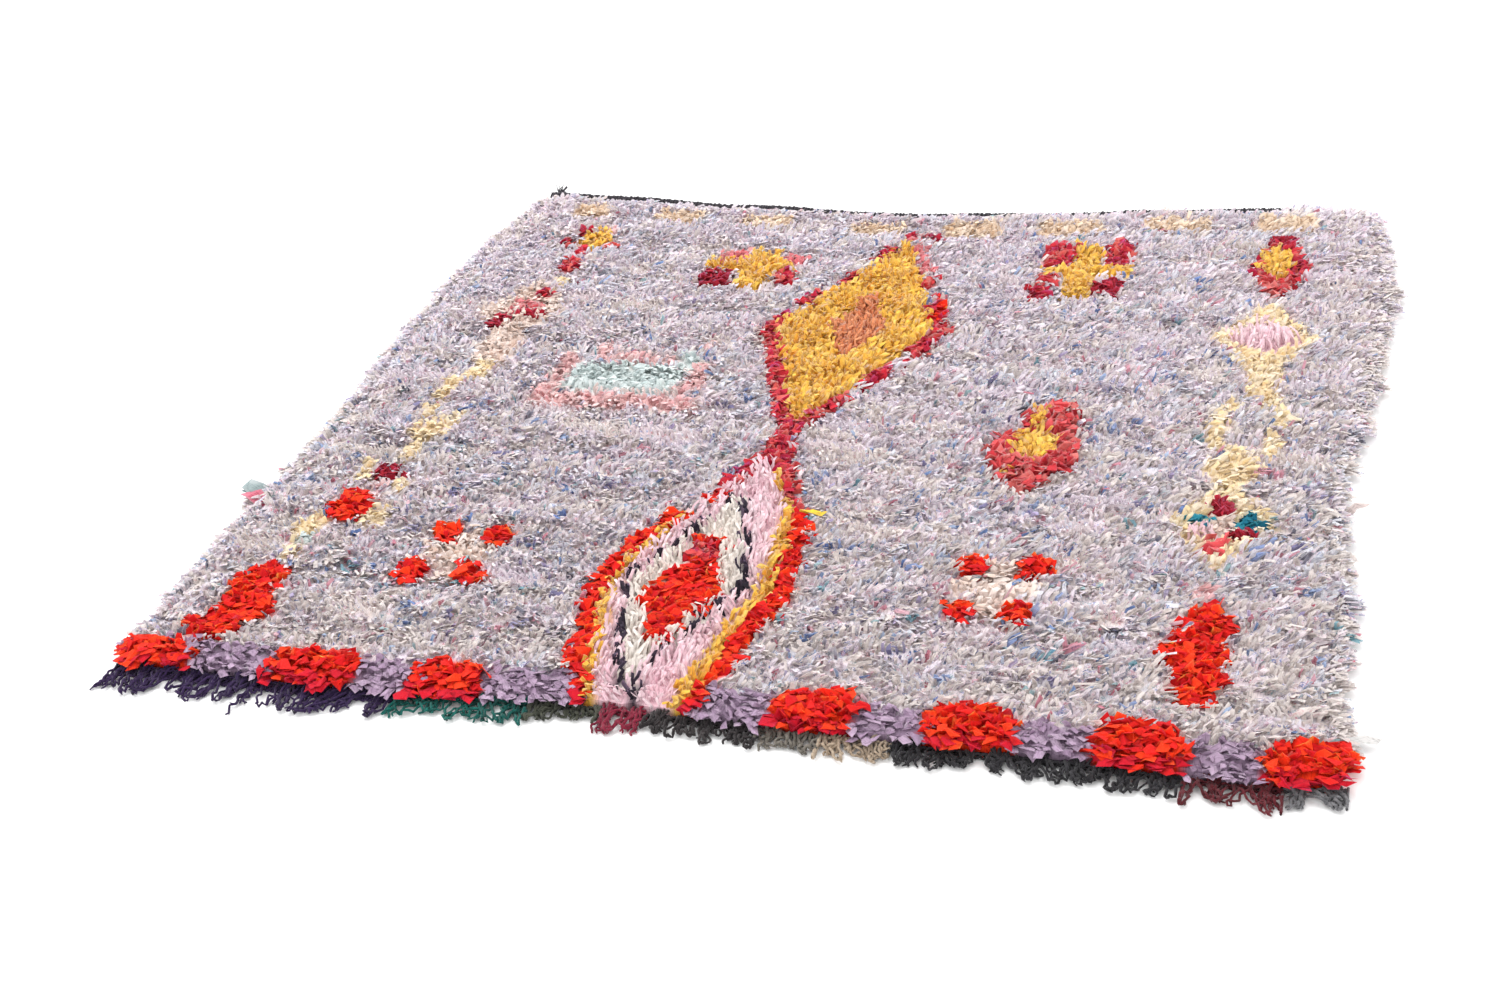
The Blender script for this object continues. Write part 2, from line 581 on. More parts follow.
# %% [markdown]
# ## The knots
#
# Every knot has a place on the ground. Rows run along the weft, about 10 mm apart, and the knots
# of a row sit about 9 mm apart, never quite evenly. Each knot is one short strip of cloth tied
# round the warp, so two tails come up side by side. Here each tail is one rag.

# %% Place the rags
ROW_PITCH = 0.0103
KNOT_PITCH = 0.0086
TAIL_ASIDE = 0.0021
TAIL_BEHIND = 0.0025
KNOTTED_WIDE = 1.430
KNOTTED_LONG = 1.456
SWAY_OF_ROW = 0.18
UNEVEN_IN_ROW = 0.22
UNEVEN_ROWS = 0.16

knot_rows = round(KNOTTED_LONG / ROW_PITCH)
knots_in_row = round(KNOTTED_WIDE / KNOT_PITCH)
row, knot, tail = np.meshgrid(
    np.arange(knot_rows), np.arange(knots_in_row), np.array([-1, 1]), indexing="ij"
)
row, knot, tail = row.ravel(), knot.ravel(), tail.ravel()
count = len(row)
sway = SWAY_OF_ROW * np.sin(knot * 0.11 + row * 1.7)
aside = chance.uniform(-UNEVEN_IN_ROW, UNEVEN_IN_ROW, count)
u = (knot + 0.5 + (row % 2) * 0.5 + aside) / (knots_in_row + 0.5)
v = (row + 0.5 + sway + chance.uniform(-UNEVEN_ROWS, UNEVEN_ROWS, count)) / knot_rows
root_x, root_y = lay_out(u, v)
root_x = root_x + tail * TAIL_ASIDE
root_y = root_y + tail * TAIL_BEHIND
height = pile_height(root_x, root_y)
print(count, "rags in", knot_rows, "rows")

# %% [markdown]
# ## The lie of the pile
#
# Years of feet and brooms have combed the pile to the right, and on the left half also towards the
# near end. Patches of it swirl their own way, some rows part, and the outermost rags hang over the
# rim, gathered here and there into a pointed tuft. Wear mats neighbours together in bunches a finger
# wide, whose rags all lean the same way. A rag shows its cloth where it lies, not where it is tied,
# so the chart is read halfway out.

# %% Lean of the whole pile, and the cloth of each rag
COMBED_RIGHT = 0.0085
FORWARD_AT_LEFT = 0.0080
FORWARD_AT_RIGHT = 0.0010
SWIRL = 0.0075
SWIRL_SIZE = (0.075, 0.036)
PARTING = 0.0070
PARTED_SIZE = (0.22, 0.09)
OUT_AT_SIDE = 0.0085
TUFT = 0.0100
GATHER = 0.9
OUT_AT_END = 0.006
EDGE_ZONE = 0.030
CORNER_FROM = 0.58
FAR_LEAN = -0.004
FAR_CORNER_LEAN = 0.020
SEEN_AT = 0.5
SEEN_CHANCE = 0.0016
BUNCH_WIDE = 0.021
BUNCH_DEEP = 0.0125
BUNCH_LEAN = (0.0060, 0.0050)
BUNCHES = 13000

bunch_lean = chance.normal(0, 1, (BUNCHES, 2))
bunch_luck = chance.uniform(0, 1, (BUNCHES, 3))


def bunches(x, y):
    """The number of the matted bunch at each place, and how near its border that place is, 0 to 1."""
    line = (y + 0.006 * drift(x, y, 0.030, 61.0)) / BUNCH_DEEP + 60
    place = (x + 0.008 * drift(x, y, 0.026, 63.0)) / BUNCH_WIDE + 0.5 * (np.floor(line) % 2) + 40
    border = np.maximum(abs(place % 1 - 0.5), abs(line % 1 - 0.5)) * 2
    return np.floor(line).astype(int) * 100 + np.floor(place).astype(int), border


def tufts(y, side):
    """How far the rim juts out or shrinks back at each y, in metres. side is -1 or 1."""
    wide = drift(y, side * 1.0, (0.055, 1.0), 83.0)
    pointed = drift(y, side * 1.0, (0.024, 1.0), 84.0).clip(0) ** 1.5
    return TUFT * (wide * 0.7 + pointed * 3.0 - 0.30)


def gathered(y, side):
    """How far the rags at the rim lean along it, towards the nearest tuft's point."""
    return GATHER * (tufts(y + 0.004, side) - tufts(y - 0.004, side))


to_left = root_x - reach(LEFT_RIM, root_y) - SIDE_LOCK
to_right = reach(RIGHT_RIM, root_y) - SIDE_LOCK - root_x
to_near = root_y - reach(NEAR_EDGE, root_x)
to_far = reach(FAR_EDGE, root_x) - HEADING_DEPTH - root_y
at_left, at_right, at_near, at_far = (
    (1 - distance / EDGE_ZONE).clip(0, 1) for distance in (to_left, to_right, to_near, to_far)
)
rightness = 0.5 + 0.5 * np.tanh(root_x / 0.30)
parted = (0.5 + 1.1 * drift(root_x, root_y, PARTED_SIZE, 71.0)).clip(0, 1.2)
parting = np.sin((root_y + row_bend(root_x, root_y)) / FURROW_PITCH * 2 * math.pi) * parted
side = np.sign(root_x)
at_rim = np.maximum(at_left, at_right)
lean_x = COMBED_RIGHT * (1 - at_left) * (1 - 0.3 * at_right) + side * OUT_AT_SIDE * at_rim
lean_x = lean_x + side * tufts(root_y, side) * at_rim
lean_x = lean_x + SWIRL * drift(root_x, root_y, SWIRL_SIZE, 41.0)
lean_y = PARTING * parting + SWIRL * drift(root_x, root_y, SWIRL_SIZE, 47.0)
lean_y = lean_y - FORWARD_AT_LEFT * (1 - rightness) - FORWARD_AT_RIGHT * rightness
far_lean = np.where(root_x > CORNER_FROM, FAR_CORNER_LEAN, FAR_LEAN)
lean_y = lean_y - OUT_AT_END * at_near + far_lean * at_far
lean_y = lean_y + gathered(root_y, side) * at_rim
bunch, border = bunches(root_x, root_y)
lean_x = lean_x + BUNCH_LEAN[0] * bunch_lean[bunch, 0]
lean_y = lean_y + BUNCH_LEAN[1] * bunch_lean[bunch, 1]
seen_x = root_x + SEEN_AT * lean_x + chance.normal(0, SEEN_CHANCE, count)
seen_y = root_y + SEEN_AT * lean_y + chance.normal(0, SEEN_CHANCE, count)
cloth = chart(seen_x, seen_y)
print("rags of the pale field:", int((cloth == PRINT).sum()))

# %% [markdown]
# ## Combed runs
#
# Here and there the weaver folded one wide piece of cloth over several knots. Such a run is combed
# flat like a little brush, all its tails have one dye, and they lean together.

# %% Runs of rags that belong together
RUN_COUNT = 84
run_x = chance.uniform(-0.70, 0.70, RUN_COUNT)
run_y = chance.triangular(-0.66, -0.12, 0.66, RUN_COUNT)
run_wide = chance.uniform(0.016, 0.052, RUN_COUNT)
run_deep = chance.uniform(0.010, 0.019, RUN_COUNT)
run_of = np.full(count, -1)
for number in range(RUN_COUNT):
    across = abs(seen_x - run_x[number]) / run_wide[number]
    along = abs(seen_y - run_y[number]) / run_deep[number]
    run_of[(across ** 4 + along ** 4 < 1) & (cloth == PRINT)] = number
in_run = run_of >= 0
print("rags in combed runs:", int(in_run.sum()))

# %% [markdown]
# ## How each rag lies
#
# A rag rises from its knot, then tips over under its own weight. To the lean of the whole pile it
# adds some chance of its own. The long tails of the two tall figures are swept away from the near
# end, so they lie on each other like feathers.

# %% Lean, length and height of each rag
LEAN_CHANCE = 0.0042
COMBED_FORWARD = -0.0090
COMBED_STEADY = 0.15
COMBED_TALLER = 1.06
COMBED_NARROWER = 0.75
RIM_SHORTER = 0.30
FAR_SHORTER = 0.26

per_cloth = {
    field: np.array([getattr(CLOTHS[name], field) for name in CLOTH_NAMES])[cloth]
    for field in ("width", "length", "curl", "fold", "spread", "swept")
}
alone = LEAN_CHANCE * per_cloth["spread"] * np.where(in_run, 0.25, 1.0)
steady = np.where(in_run, COMBED_STEADY, 1.0)
lean_x = lean_x * steady + chance.normal(0, 1, count) * alone
lean_y = np.where(in_run, COMBED_FORWARD, lean_y) + chance.normal(0, 1, count) * alone
lean_y = lean_y + per_cloth["swept"]
lean_x = lean_x - 0.5 * per_cloth["swept"] * (per_cloth["swept"] > 0.005)
tall = height * chance.uniform(0.84, 1.08, count) * per_cloth["length"]
shorter = 1 - RIM_SHORTER * at_rim * chance.uniform(0, 1, count)
tall = tall * shorter * np.where(in_run, COMBED_TALLER, 1.0)
tall = tall * np.where(root_x > CORNER_FROM, 1.0, 1 - FAR_SHORTER * at_far)
curl = (per_cloth["curl"] + chance.normal(0, 0.20, count) + 0.5 * at_rim).clip(0, 1.3)
width = per_cloth["width"] * chance.uniform(0.70, 1.25, count) * np.where(in_run, COMBED_NARROWER, 1.0)
fold = width * per_cloth["fold"] * chance.uniform(0.4, 1.8, count)
turn = 1.3 * (bunch_luck[bunch, 2] - 0.4) + chance.normal(0, 0.36, count)
turn = turn * steady
twist = chance.normal(0.0, 0.45, count) * steady
print("mean rag width in mm:", round(float(width.mean()) * 1000, 1))

# %% [markdown]
# ## The hanging rim
#
# Along both sides the last knots hang over the edge in a dense skirt of narrow tails. Nothing holds
# them up, so they droop to the floor and show their whole length. They join the others here, because
# they are cut from the same cloths.

# %% Rags of the skirt
SKIRT_PITCH = 0.0030
SKIRT_LONG = 1.44
SKIRT_FROM = -0.712
SKIRT_OUT = 0.0125
SKIRT_OUT_A_LAYER = 0.0025
SKIRT_CHANCE = 0.0016
SKIRT_LAYERS = (0.025, 0.021, 0.016, 0.012)

pile = {
    "x": root_x, "y": root_y, "seen_x": seen_x, "seen_y": seen_y, "lean_x": lean_x, "lean_y": lean_y,
    "tall": tall, "curl": curl, "width": width, "fold": fold, "turn": turn, "twist": twist,
    "cloth": cloth, "run": run_of, "bunch": bunch, "border": border,
}
per_side = round(SKIRT_LONG / SKIRT_PITCH)
layer, place, side = np.meshgrid(
    np.arange(len(SKIRT_LAYERS)), np.arange(per_side), np.array([-1, 1]), indexing="ij"
)
layer, place, side = layer.ravel(), place.ravel(), side.ravel()
skirt_count = len(place)
skirt_y = SKIRT_FROM + (place + 0.5 + chance.uniform(-0.5, 0.5, skirt_count)) * SKIRT_PITCH
rim_x = np.where(side < 0, reach(LEFT_RIM, skirt_y), reach(RIGHT_RIM, skirt_y))
skirt_bunch, skirt_border = bunches(side * 0.70, skirt_y + 0.3 * BUNCH_DEEP * layer)
own_way = bunch_lean[skirt_bunch]
out = SKIRT_OUT + SKIRT_OUT_A_LAYER * layer + 0.0030 * own_way[:, 0]
out = out + chance.normal(0, SKIRT_CHANCE, skirt_count)
out = out + tufts(skirt_y, side)
skirt = {
    "x": rim_x - side * (SIDE_LOCK + 0.005 - 0.002 * layer),
    "y": skirt_y,
    "seen_x": rim_x - side * 0.010,
    "seen_y": skirt_y,
    "lean_x": side * out,
    "lean_y": gathered(skirt_y, side) + 0.0050 * own_way[:, 1] + chance.normal(0, 0.0022, skirt_count),
    "tall": np.array(SKIRT_LAYERS)[layer] * chance.uniform(0.80, 1.10, skirt_count),
    "curl": chance.uniform(0.35, 0.95, skirt_count),
    "width": chance.uniform(0.0036, 0.0070, skirt_count),
    "fold": chance.uniform(0.0006, 0.0014, skirt_count),
    "turn": 0.7 + chance.normal(0, 0.6, skirt_count),
    "twist": chance.normal(0, 0.5, skirt_count),
    "cloth": chart(rim_x - side * 0.030, skirt_y),
    "run": np.full(skirt_count, -1),
    "bunch": skirt_bunch,
    "border": skirt_border,
}
rags = {field: np.concatenate([pile[field], skirt[field]]) for field in pile}
count = len(rags["x"])
print("rags in the skirt:", skirt_count, "and in all:", count)

# %% Stray rags that stand out from the rim
Stray = namedtuple("Stray", "x y reach_x reach_y tall width dye")
STRAYS = [
    Stray(-0.716, -0.342, -0.056, 0.034, 0.024, 0.026, "#8B9899"),
    Stray(-0.716, -0.330, -0.050, 0.012, 0.020, 0.018, "#7F8E92"),
    Stray(-0.718, -0.356, -0.038, 0.022, 0.027, 0.022, "#C4687A"),
    Stray(-0.744, 0.330, -0.024, 0.004, 0.016, 0.010, "#9FB0B0"),
    Stray(0.734, 0.440, 0.034, 0.006, 0.016, 0.008, "#CFC6D0"),
    Stray(0.716, -0.655, 0.040, 0.002, 0.012, 0.014, "#C9C6C4"),
    Stray(0.703, -0.190, 0.026, 0.006, 0.020, 0.010, "#C8B9B6"),
    Stray(0.025, -0.296, 0.036, 0.002, 0.029, 0.011, "#F4C440"),
    Stray(-0.702, -0.716, 0.004, -0.026, 0.016, 0.016, "#F0361E"),
]
print(len(STRAYS), "strays")

# %% [markdown]
# ## Dyes and prints
#
# The coloured rags differ a little from strip to strip. The pale field needs more care: it was cut
# from many prints, so its tone changes in streaks along the rows, from lilac grey to beige. Most
# rags of a bunch share one tone, where bunches meet the pile opens a dark line, and the near half,
# which more feet have crossed, is a little darker. Each strip keeps a value that says how much of
# the printed flowers it shows.

# %% Colour each rag
BEIGE_NEAR = -0.66
FIELD_TONES = {
    "lilac_white": "#EBDEE8", "blue_white": "#E3E2EB", "rose_white": "#EFE0E4",
    "beige_white": "#ECE0DB", "stone": "#E2D6D0", "grey": "#DAD2D8",
}
ACCENT_TONES = {
    "pale_blue": "#A9BAD8", "blue": "#7E97C4", "sea": "#A3BEC2", "pink": "#E0B4BE",
    "rose_red": "#CC8492", "violet": "#B6AACC", "slate": "#9A96A2",
}
SINGLE_ACCENTS = 0.045
SPOT_COUNT = 520
CLEFT_SHADE = 0.26
BORDER_SHADE = 0.12
TRODDEN = 0.09
ONE_CLOTH = 0.72
SPOT_TONES = ["#6F86B8", "#8C9CC6", "#8A84A8", "#7C7A88", "#D496A4", "#7FA8B4", "#A8A2C4", "#9DAFD4"]

tones = np.array([linear(tone) for tone in FIELD_TONES.values()])
accents = np.array([linear(tone) for tone in ACCENT_TONES.values()])
x, y, cloth, bunch = (rags[field] for field in ("x", "y", "cloth", "bunch"))
plain_field = (cloth == PRINT) & (rags["run"] < 0)
in_run = rags["run"] >= 0
streak = drift(x, y, (0.16, 0.020), 51.0)
patch = drift(x, y, (0.20, 0.14), 57.0)
nearness = np.exp(-((y - BEIGE_NEAR) / 0.10) ** 2)
rim_beige = np.exp(-(reach(RIGHT_RIM, y) - SIDE_LOCK - x).clip(0) / 0.06)
weights = np.stack([
    1.0 + 0.8 * y / 0.7 + streak,
    0.5 + 1.0 * patch - 0.6 * nearness,
    0.8 - 0.8 * patch + 0.8 * streak,
    0.7 + 1.2 * nearness + 1.4 * rim_beige - 1.2 * streak - 0.5 * y,
    0.20 + 0.6 * rim_beige - 0.9 * streak + 0.3 * nearness,
    0.20 - 0.7 * patch,
], axis=1).clip(0.02, None)
running = np.cumsum(weights / weights.sum(axis=1, keepdims=True), axis=1)
alike = chance.uniform(0, 1, count) < ONE_CLOTH
pick = np.where(alike, bunch_luck[bunch, 0], chance.uniform(0, 1, count))
tone = (pick[:, None] > running[:, :-1]).sum(axis=1)
dye = tones[tone]
nearer = 1 - 0.5 * y / 0.7
single = chance.uniform(0, 1, count) < SINGLE_ACCENTS * nearer * (1 - 0.8 * rim_beige)
dye[single] = accents[chance.integers(0, len(accents), single.sum())]

spot_tones = np.array([linear(tone) for tone in SPOT_TONES])
for number in range(SPOT_COUNT):
    middle = np.array([chance.uniform(-0.72, 0.72), chance.triangular(-0.69, -0.50, 0.72)])
    half = chance.uniform((0.004, 0.004), (0.012, 0.008))
    distance = ((rags["seen_x"] - middle[0]) / half[0]) ** 2
    distance = distance + ((rags["seen_y"] - middle[1]) / half[1]) ** 2
    here = (distance < 1) & (chance.uniform(0, 1, count) < 0.85)
    dye[here] = spot_tones[chance.integers(0, len(spot_tones))]
run_tones = tones[chance.choice([0, 2, 3, 3, 4], RUN_COUNT)]
dye[in_run] = run_tones[rags["run"][in_run]]
for number, name in enumerate(CLOTH_NAMES):
    worn = cloth == number
    if name != "print":
        dyes = np.array([linear(shade) for shade in CLOTHS[name].dyes])
        dye[worn] = dyes[chance.integers(0, len(dyes), worn.sum())]
crimson_low = (cloth == CLOTH_NAMES.index("orange")) & (y - reach(NEAR_EDGE, x) < 0.013)
dye[crimson_low & (chance.uniform(0, 1, count) < 0.8)] = linear("#BE1226")
cleft = ((drift(x, y, (0.050, 0.011), 97.0) - 0.18) / 0.5).clip(0, 1)
edge = ((rags["border"] - 0.62) / 0.38).clip(0, 1)
shadow = (1 - CLEFT_SHADE * cleft * plain_field) * (1 - BORDER_SHADE * edge * plain_field)
shadow = shadow * (1 - TRODDEN * plain_field * (0.5 - y / 1.2).clip(0, 1))
dye[:, :3] *= (chance.normal(1, 0.030, count).clip(0.88, 1.06) * shadow)[:, None]
print_share = np.where(tone == 3, 0.35, np.where(tone == 4, 0.2, 0.8))
print_share = print_share * (0.15 + 1.35 * bunch_luck[bunch, 1]) * chance.uniform(0.7, 1.1, count)
print_share[~plain_field] = 0
rags["dye"] = dye
rags["print_share"] = print_share
print("rags in spots of print:", int((dye[:, 0] < 0.4).sum()))

# %% [markdown]
# ## The cloth finishes
#
# Printed poplin is a plain woven cotton with small flowers in a few inks. Its print is laid on the
# cloth before it is cut, so the pattern follows each strip's own map, in metres of cloth. Dyed rags
# have sharp pleats, the palest ones are washed out and have fewer, and knitted jersey has hardly
# any. All of it is thin and creased, which shows as fine wrinkles across the strip.

# %% Materials of the rags
WRINKLE = 0.0036
PLEAT_WIDE = 0.0016
PLEAT_LONG = 0.0120
THROUGH_CLOTH = 0.45
THROUGH_DEPTH = 0.003
WEAVE_THREAD = 0.0009
FLOWER = 0.0062
SPECK = 0.0021
INKS = [
    (0.000, "#FFFFFF"), (0.600, "#8FA6D4"), (0.680, "#5F7FBC"), (0.720, "#E8AEBE"),
    (0.790, "#94BEC0"), (0.840, "#9C96A0"), (0.890, "#C2B0CE"), (0.945, "#D8788A"), (0.978, "#5A5664"),
]


def rag_finish(name, printed, wrinkle_height, roughness, pleat_shade):
    """A cotton finish that takes its dye from the strip, with creases, and a print if there is one."""
    material, shader = new_material(name)
    dyed = add(material, "Attribute", attribute_name="dye")
    cut = add(material, "UVMap", uv_map="cut")
    stretched = add(
        material, "Mapping", values={"Scale": (1.0, 0.45, 1.0)}, links={"Vector": cut.outputs["UV"]}
    )
    colour = dyed.outputs["Color"]
    if printed:
        colour = add_print(material, cut.outputs["UV"], colour)
    uneven = add(
        material, "TexNoise", values={"Scale": 1 / 0.011, "Detail": 2.0}, links={"Vector": cut.outputs["UV"]}
    )
    worn = add(
        material, "MapRange", values={"To Min": 0.95, "To Max": 1.09}, links={"Value": uneven.outputs["Fac"]}
    )
    pressed = add(
        material, "Mapping", values={"Scale": (1 / PLEAT_WIDE, 1 / PLEAT_LONG, 1.0)},
        links={"Vector": cut.outputs["UV"]},
    )
    pleats = add(
        material, "TexNoise", values={"Scale": 1.0, "Detail": 1.0},
        links={"Vector": pressed.outputs["Vector"]},
    )
    lines = add(
        material, "MapRange",
        values={"From Min": 0.36, "From Max": 0.47, "To Min": pleat_shade, "To Max": 1.0},
        links={"Value": pleats.outputs["Fac"]},
    )
    toned = add(
        material, "Math", operation="MULTIPLY",
        links={0: worn.outputs["Result"], 1: lines.outputs["Result"]},
    )
    faded = add(
        material, "Mix", values={"Factor": 1.0}, data_type="RGBA", blend_type="MULTIPLY",
    )
    material.node_tree.links.new(colour, faded.inputs[6])
    material.node_tree.links.new(toned.outputs["Value"], faded.inputs[7])
    creases = add(
        material, "TexNoise", values={"Scale": 1 / WRINKLE, "Detail": 3.0, "Roughness": 0.6},
        links={"Vector": stretched.outputs["Vector"]},
    )
    weave = add(
        material, "TexChecker", values={"Scale": 1 / WEAVE_THREAD}, links={"Vector": cut.outputs["UV"]}
    )
    surface = add(
        material, "MapRange", values={"To Max": 0.10}, links={"Value": weave.outputs["Fac"]}
    )
    relief = add(
        material, "Math", operation="ADD",
        links={0: creases.outputs["Fac"], 1: surface.outputs["Result"]},
    )
    bump = add(
        material, "Bump", values={"Strength": 1.0, "Distance": wrinkle_height},
        links={"Height": relief.outputs["Value"]},
    )
    links = material.node_tree.links
    links.new(faded.outputs[2], shader.inputs["Base Color"])
    links.new(bump.outputs["Normal"], shader.inputs["Normal"])
    shader.inputs["Roughness"].default_value = roughness
    shader.inputs["Sheen Weight"].default_value = 0.03
    shader.inputs["Sheen Roughness"].default_value = 0.5
    shader.inputs["Subsurface Weight"].default_value = THROUGH_CLOTH
    shader.inputs["Subsurface Scale"].default_value = THROUGH_DEPTH
    shader.inputs["Subsurface Radius"].default_value = (1.0, 1.0, 1.0)
    shader.inputs["Specular IOR Level"].default_value = 0.12
    return material


def add_print(material, cut, dyed):
    """Small flowers in a few inks over the strip's own pale dye, as strong as its print share."""
    wobble = add(material, "TexNoise", values={"Scale": 1 / 0.004, "Detail": 1.0}, links={"Vector": cut})
    bent = add(
        material, "VectorMath", operation="MULTIPLY_ADD", values={1: (0.004, 0.004, 0.0)},
        links={0: wobble.outputs["Color"], 2: cut},
    )
    flowers = add(
        material, "TexVoronoi", values={"Scale": 1 / FLOWER}, links={"Vector": bent.outputs["Vector"]}
    )
    picked = add(material, "SeparateColor", links={"Color": flowers.outputs["Color"]})
    inks = add(material, "ValToRGB", links={"Fac": picked.outputs["Red"]})
    ramp = inks.color_ramp
    ramp.interpolation = "CONSTANT"
    for position, ink in INKS[1:-1]:
        ramp.elements.new(position)
    for element, (position, ink) in zip(ramp.elements, INKS):
        element.position = position
        element.color = linear(ink)
    specks = add(material, "TexNoise", values={"Scale": 1 / SPECK, "Detail": 1.0}, links={"Vector": cut})
    broken = add(
        material, "MapRange", values={"From Min": 0.42, "From Max": 0.56},
        links={"Value": specks.outputs["Fac"]},
    )
    share = add(material, "Attribute", attribute_name="print_share")
    strength = add(
        material, "Math", operation="MULTIPLY",
        links={0: broken.outputs["Result"], 1: share.outputs["Fac"]},
    )
    inked = add(material, "Mix", data_type="RGBA", blend_type="MULTIPLY")
    links = material.node_tree.links
    links.new(strength.outputs["Value"], inked.inputs[0])
    links.new(dyed, inked.inputs[6])
    links.new(inks.outputs["Color"], inked.inputs[7])
    return inked.outputs[2]


FINISHES = {
    "printed": rag_finish("printed_cotton_poplin", True, 0.0011, 0.90, 0.74),
    "plain": rag_finish("dyed_cotton_rag", False, 0.0012, 0.88, 0.70),
    "washed": rag_finish("washed_out_cotton", False, 0.0011, 0.90, 0.84),
    "jersey": rag_finish("knitted_cotton_jersey", False, 0.0013, 0.80, 0.88),
}
FINISH_NAMES = list(FINISHES)
finish_of = np.array([FINISH_NAMES.index(CLOTHS[name].finish) for name in CLOTH_NAMES])
print("finishes:", FINISH_NAMES)

# %% [markdown]
# ## Making the rags
#
# A rag is a flat strip with one fold along it, which gives it three sides and a closed skin. Cross
# sections follow its path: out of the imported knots, up or over, and out to a tip that was cut with
# blunt scissors. The rags of the motifs get four sections, those of the field three. All rags of a
# band are made at once as arrays of points and joined in one mesh, because fifty thousand separate
# objects would bring Blender to its knees.

# %% Cross sections of a rag
Section = namedtuple("Section", "upright_out upright_up curled_out curled_up width fold shade")
MOTIF_SECTIONS = [
    Section(0.00, 0.42, 0.00, 0.44, 0.70, 1.00, 0.72),
    Section(0.30, 0.66, 0.14, 0.80, 1.00, 1.00, 0.90),
    Section(0.62, 0.85, 0.58, 1.00, 1.08, 0.90, 1.00),
    Section(1.00, 1.00, 1.00, 0.86, 0.96, 0.60, 1.05),
]
FIELD_SECTIONS = [
    Section(0.02, 0.46, 0.02, 0.50, 0.75, 1.00, 0.80),
    Section(0.46, 0.77, 0.38, 0.97, 1.05, 1.00, 0.97),
    Section(1.00, 1.00, 1.00, 0.88, 0.95, 0.60, 0.99),
]
SIDES = 3
RAG_GRAIN = 0.0015
BAKE_MARGIN = 0.08
PILE_TOP = 0.0435
SHADE_CHANCE = 0.045


def column(sections, field):
    """One column of a table of sections, as an array."""
    return np.array([getattr(section, field) for section in sections])


def unit(vectors):
    """The same vectors with a length of 1."""
    return vectors / np.linalg.norm(vectors, axis=-1, keepdims=True).clip(1e-9)


def rag_points(rags, sections):
    """The points of every rag: rings of left edge, right edge and ridge."""
    n = len(rags["x"])
    rings = len(sections)
    bent = rags["curl"][:, None].clip(0, 1)
    straight_out = column(sections, "upright_out")
    out = straight_out * (1 - bent) + column(sections, "curled_out") * bent
    up = column(sections, "upright_up") * (1 - bent) + column(sections, "curled_up") * bent
    out = out + chance.normal(0, 0.06, (n, rings)) * (straight_out > 0.1)
    up = up + chance.normal(0, 0.040, (n, rings)) * (straight_out > 0.1)
    path = np.zeros((n, rings, 3))
    path[:, :, 0] = rags["x"][:, None] + rags["lean_x"][:, None] * out
    path[:, :, 1] = rags["y"][:, None] + rags["lean_y"][:, None] * out
    path[:, :, 2] = rags["tall"][:, None] * up
    path[:, 1:, :2] += chance.normal(0, RAG_GRAIN, (n, rings - 1, 2))
    path[:, 1:, 2] = path[:, 1:, 2].clip(RAG_GRAIN * 2)
    along = unit(np.gradient(path, axis=1))
    turn = rags["turn"][:, None] + rags["twist"][:, None] * np.linspace(-0.5, 0.5, rings)
    turn = turn + chance.normal(0, 0.14, (n, rings))
    facing = np.stack([np.cos(turn), np.sin(turn), np.zeros_like(turn)], axis=2)
    across = unit(facing - along * (facing * along).sum(axis=2, keepdims=True))
    face = np.cross(along, across)
    wide = rags["width"][:, None] * column(sections, "width") * chance.uniform(0.80, 1.16, (n, rings))
    thick = rags["fold"][:, None] * column(sections, "fold") * chance.uniform(0.6, 1.4, (n, rings))
    ridge = chance.uniform(-0.28, 0.28, (n, rings))
    points = np.zeros((n, rings, SIDES, 3))
    points[:, :, 0] = path - across * wide[..., None] / 2
    points[:, :, 1] = path + across * wide[..., None] / 2
    points[:, :, 2] = path + face * thick[..., None] + across * (wide * ridge)[..., None]
    slant = chance.uniform(-0.40, 0.40, n)[:, None] * rags["width"][:, None]
    points[:, -1, 0] += along[:, -1] * slant
    points[:, -1, 1] -= along[:, -1] * slant
    points[..., 2] = points[..., 2].clip(0.0008, PILE_TOP)
    return points, wide


def cut_map(points, wide):
    """Where each ring of each rag lies on the cloth it was cut from, in metres."""
    n = len(points)
    middle = points.mean(axis=2)
    steps = np.linalg.norm(np.diff(middle, axis=1), axis=2)
    run = np.concatenate([np.zeros((n, 1)), np.cumsum(steps, axis=1)], axis=1)
    start = chance.uniform(0, 1, (n, 1, 1))
    shift = chance.uniform(0, 1, (n, 1))
    edges = np.stack([np.zeros_like(wide), -wide, -wide * 1.5, -wide * 2], axis=2)
    return start + edges, shift + run


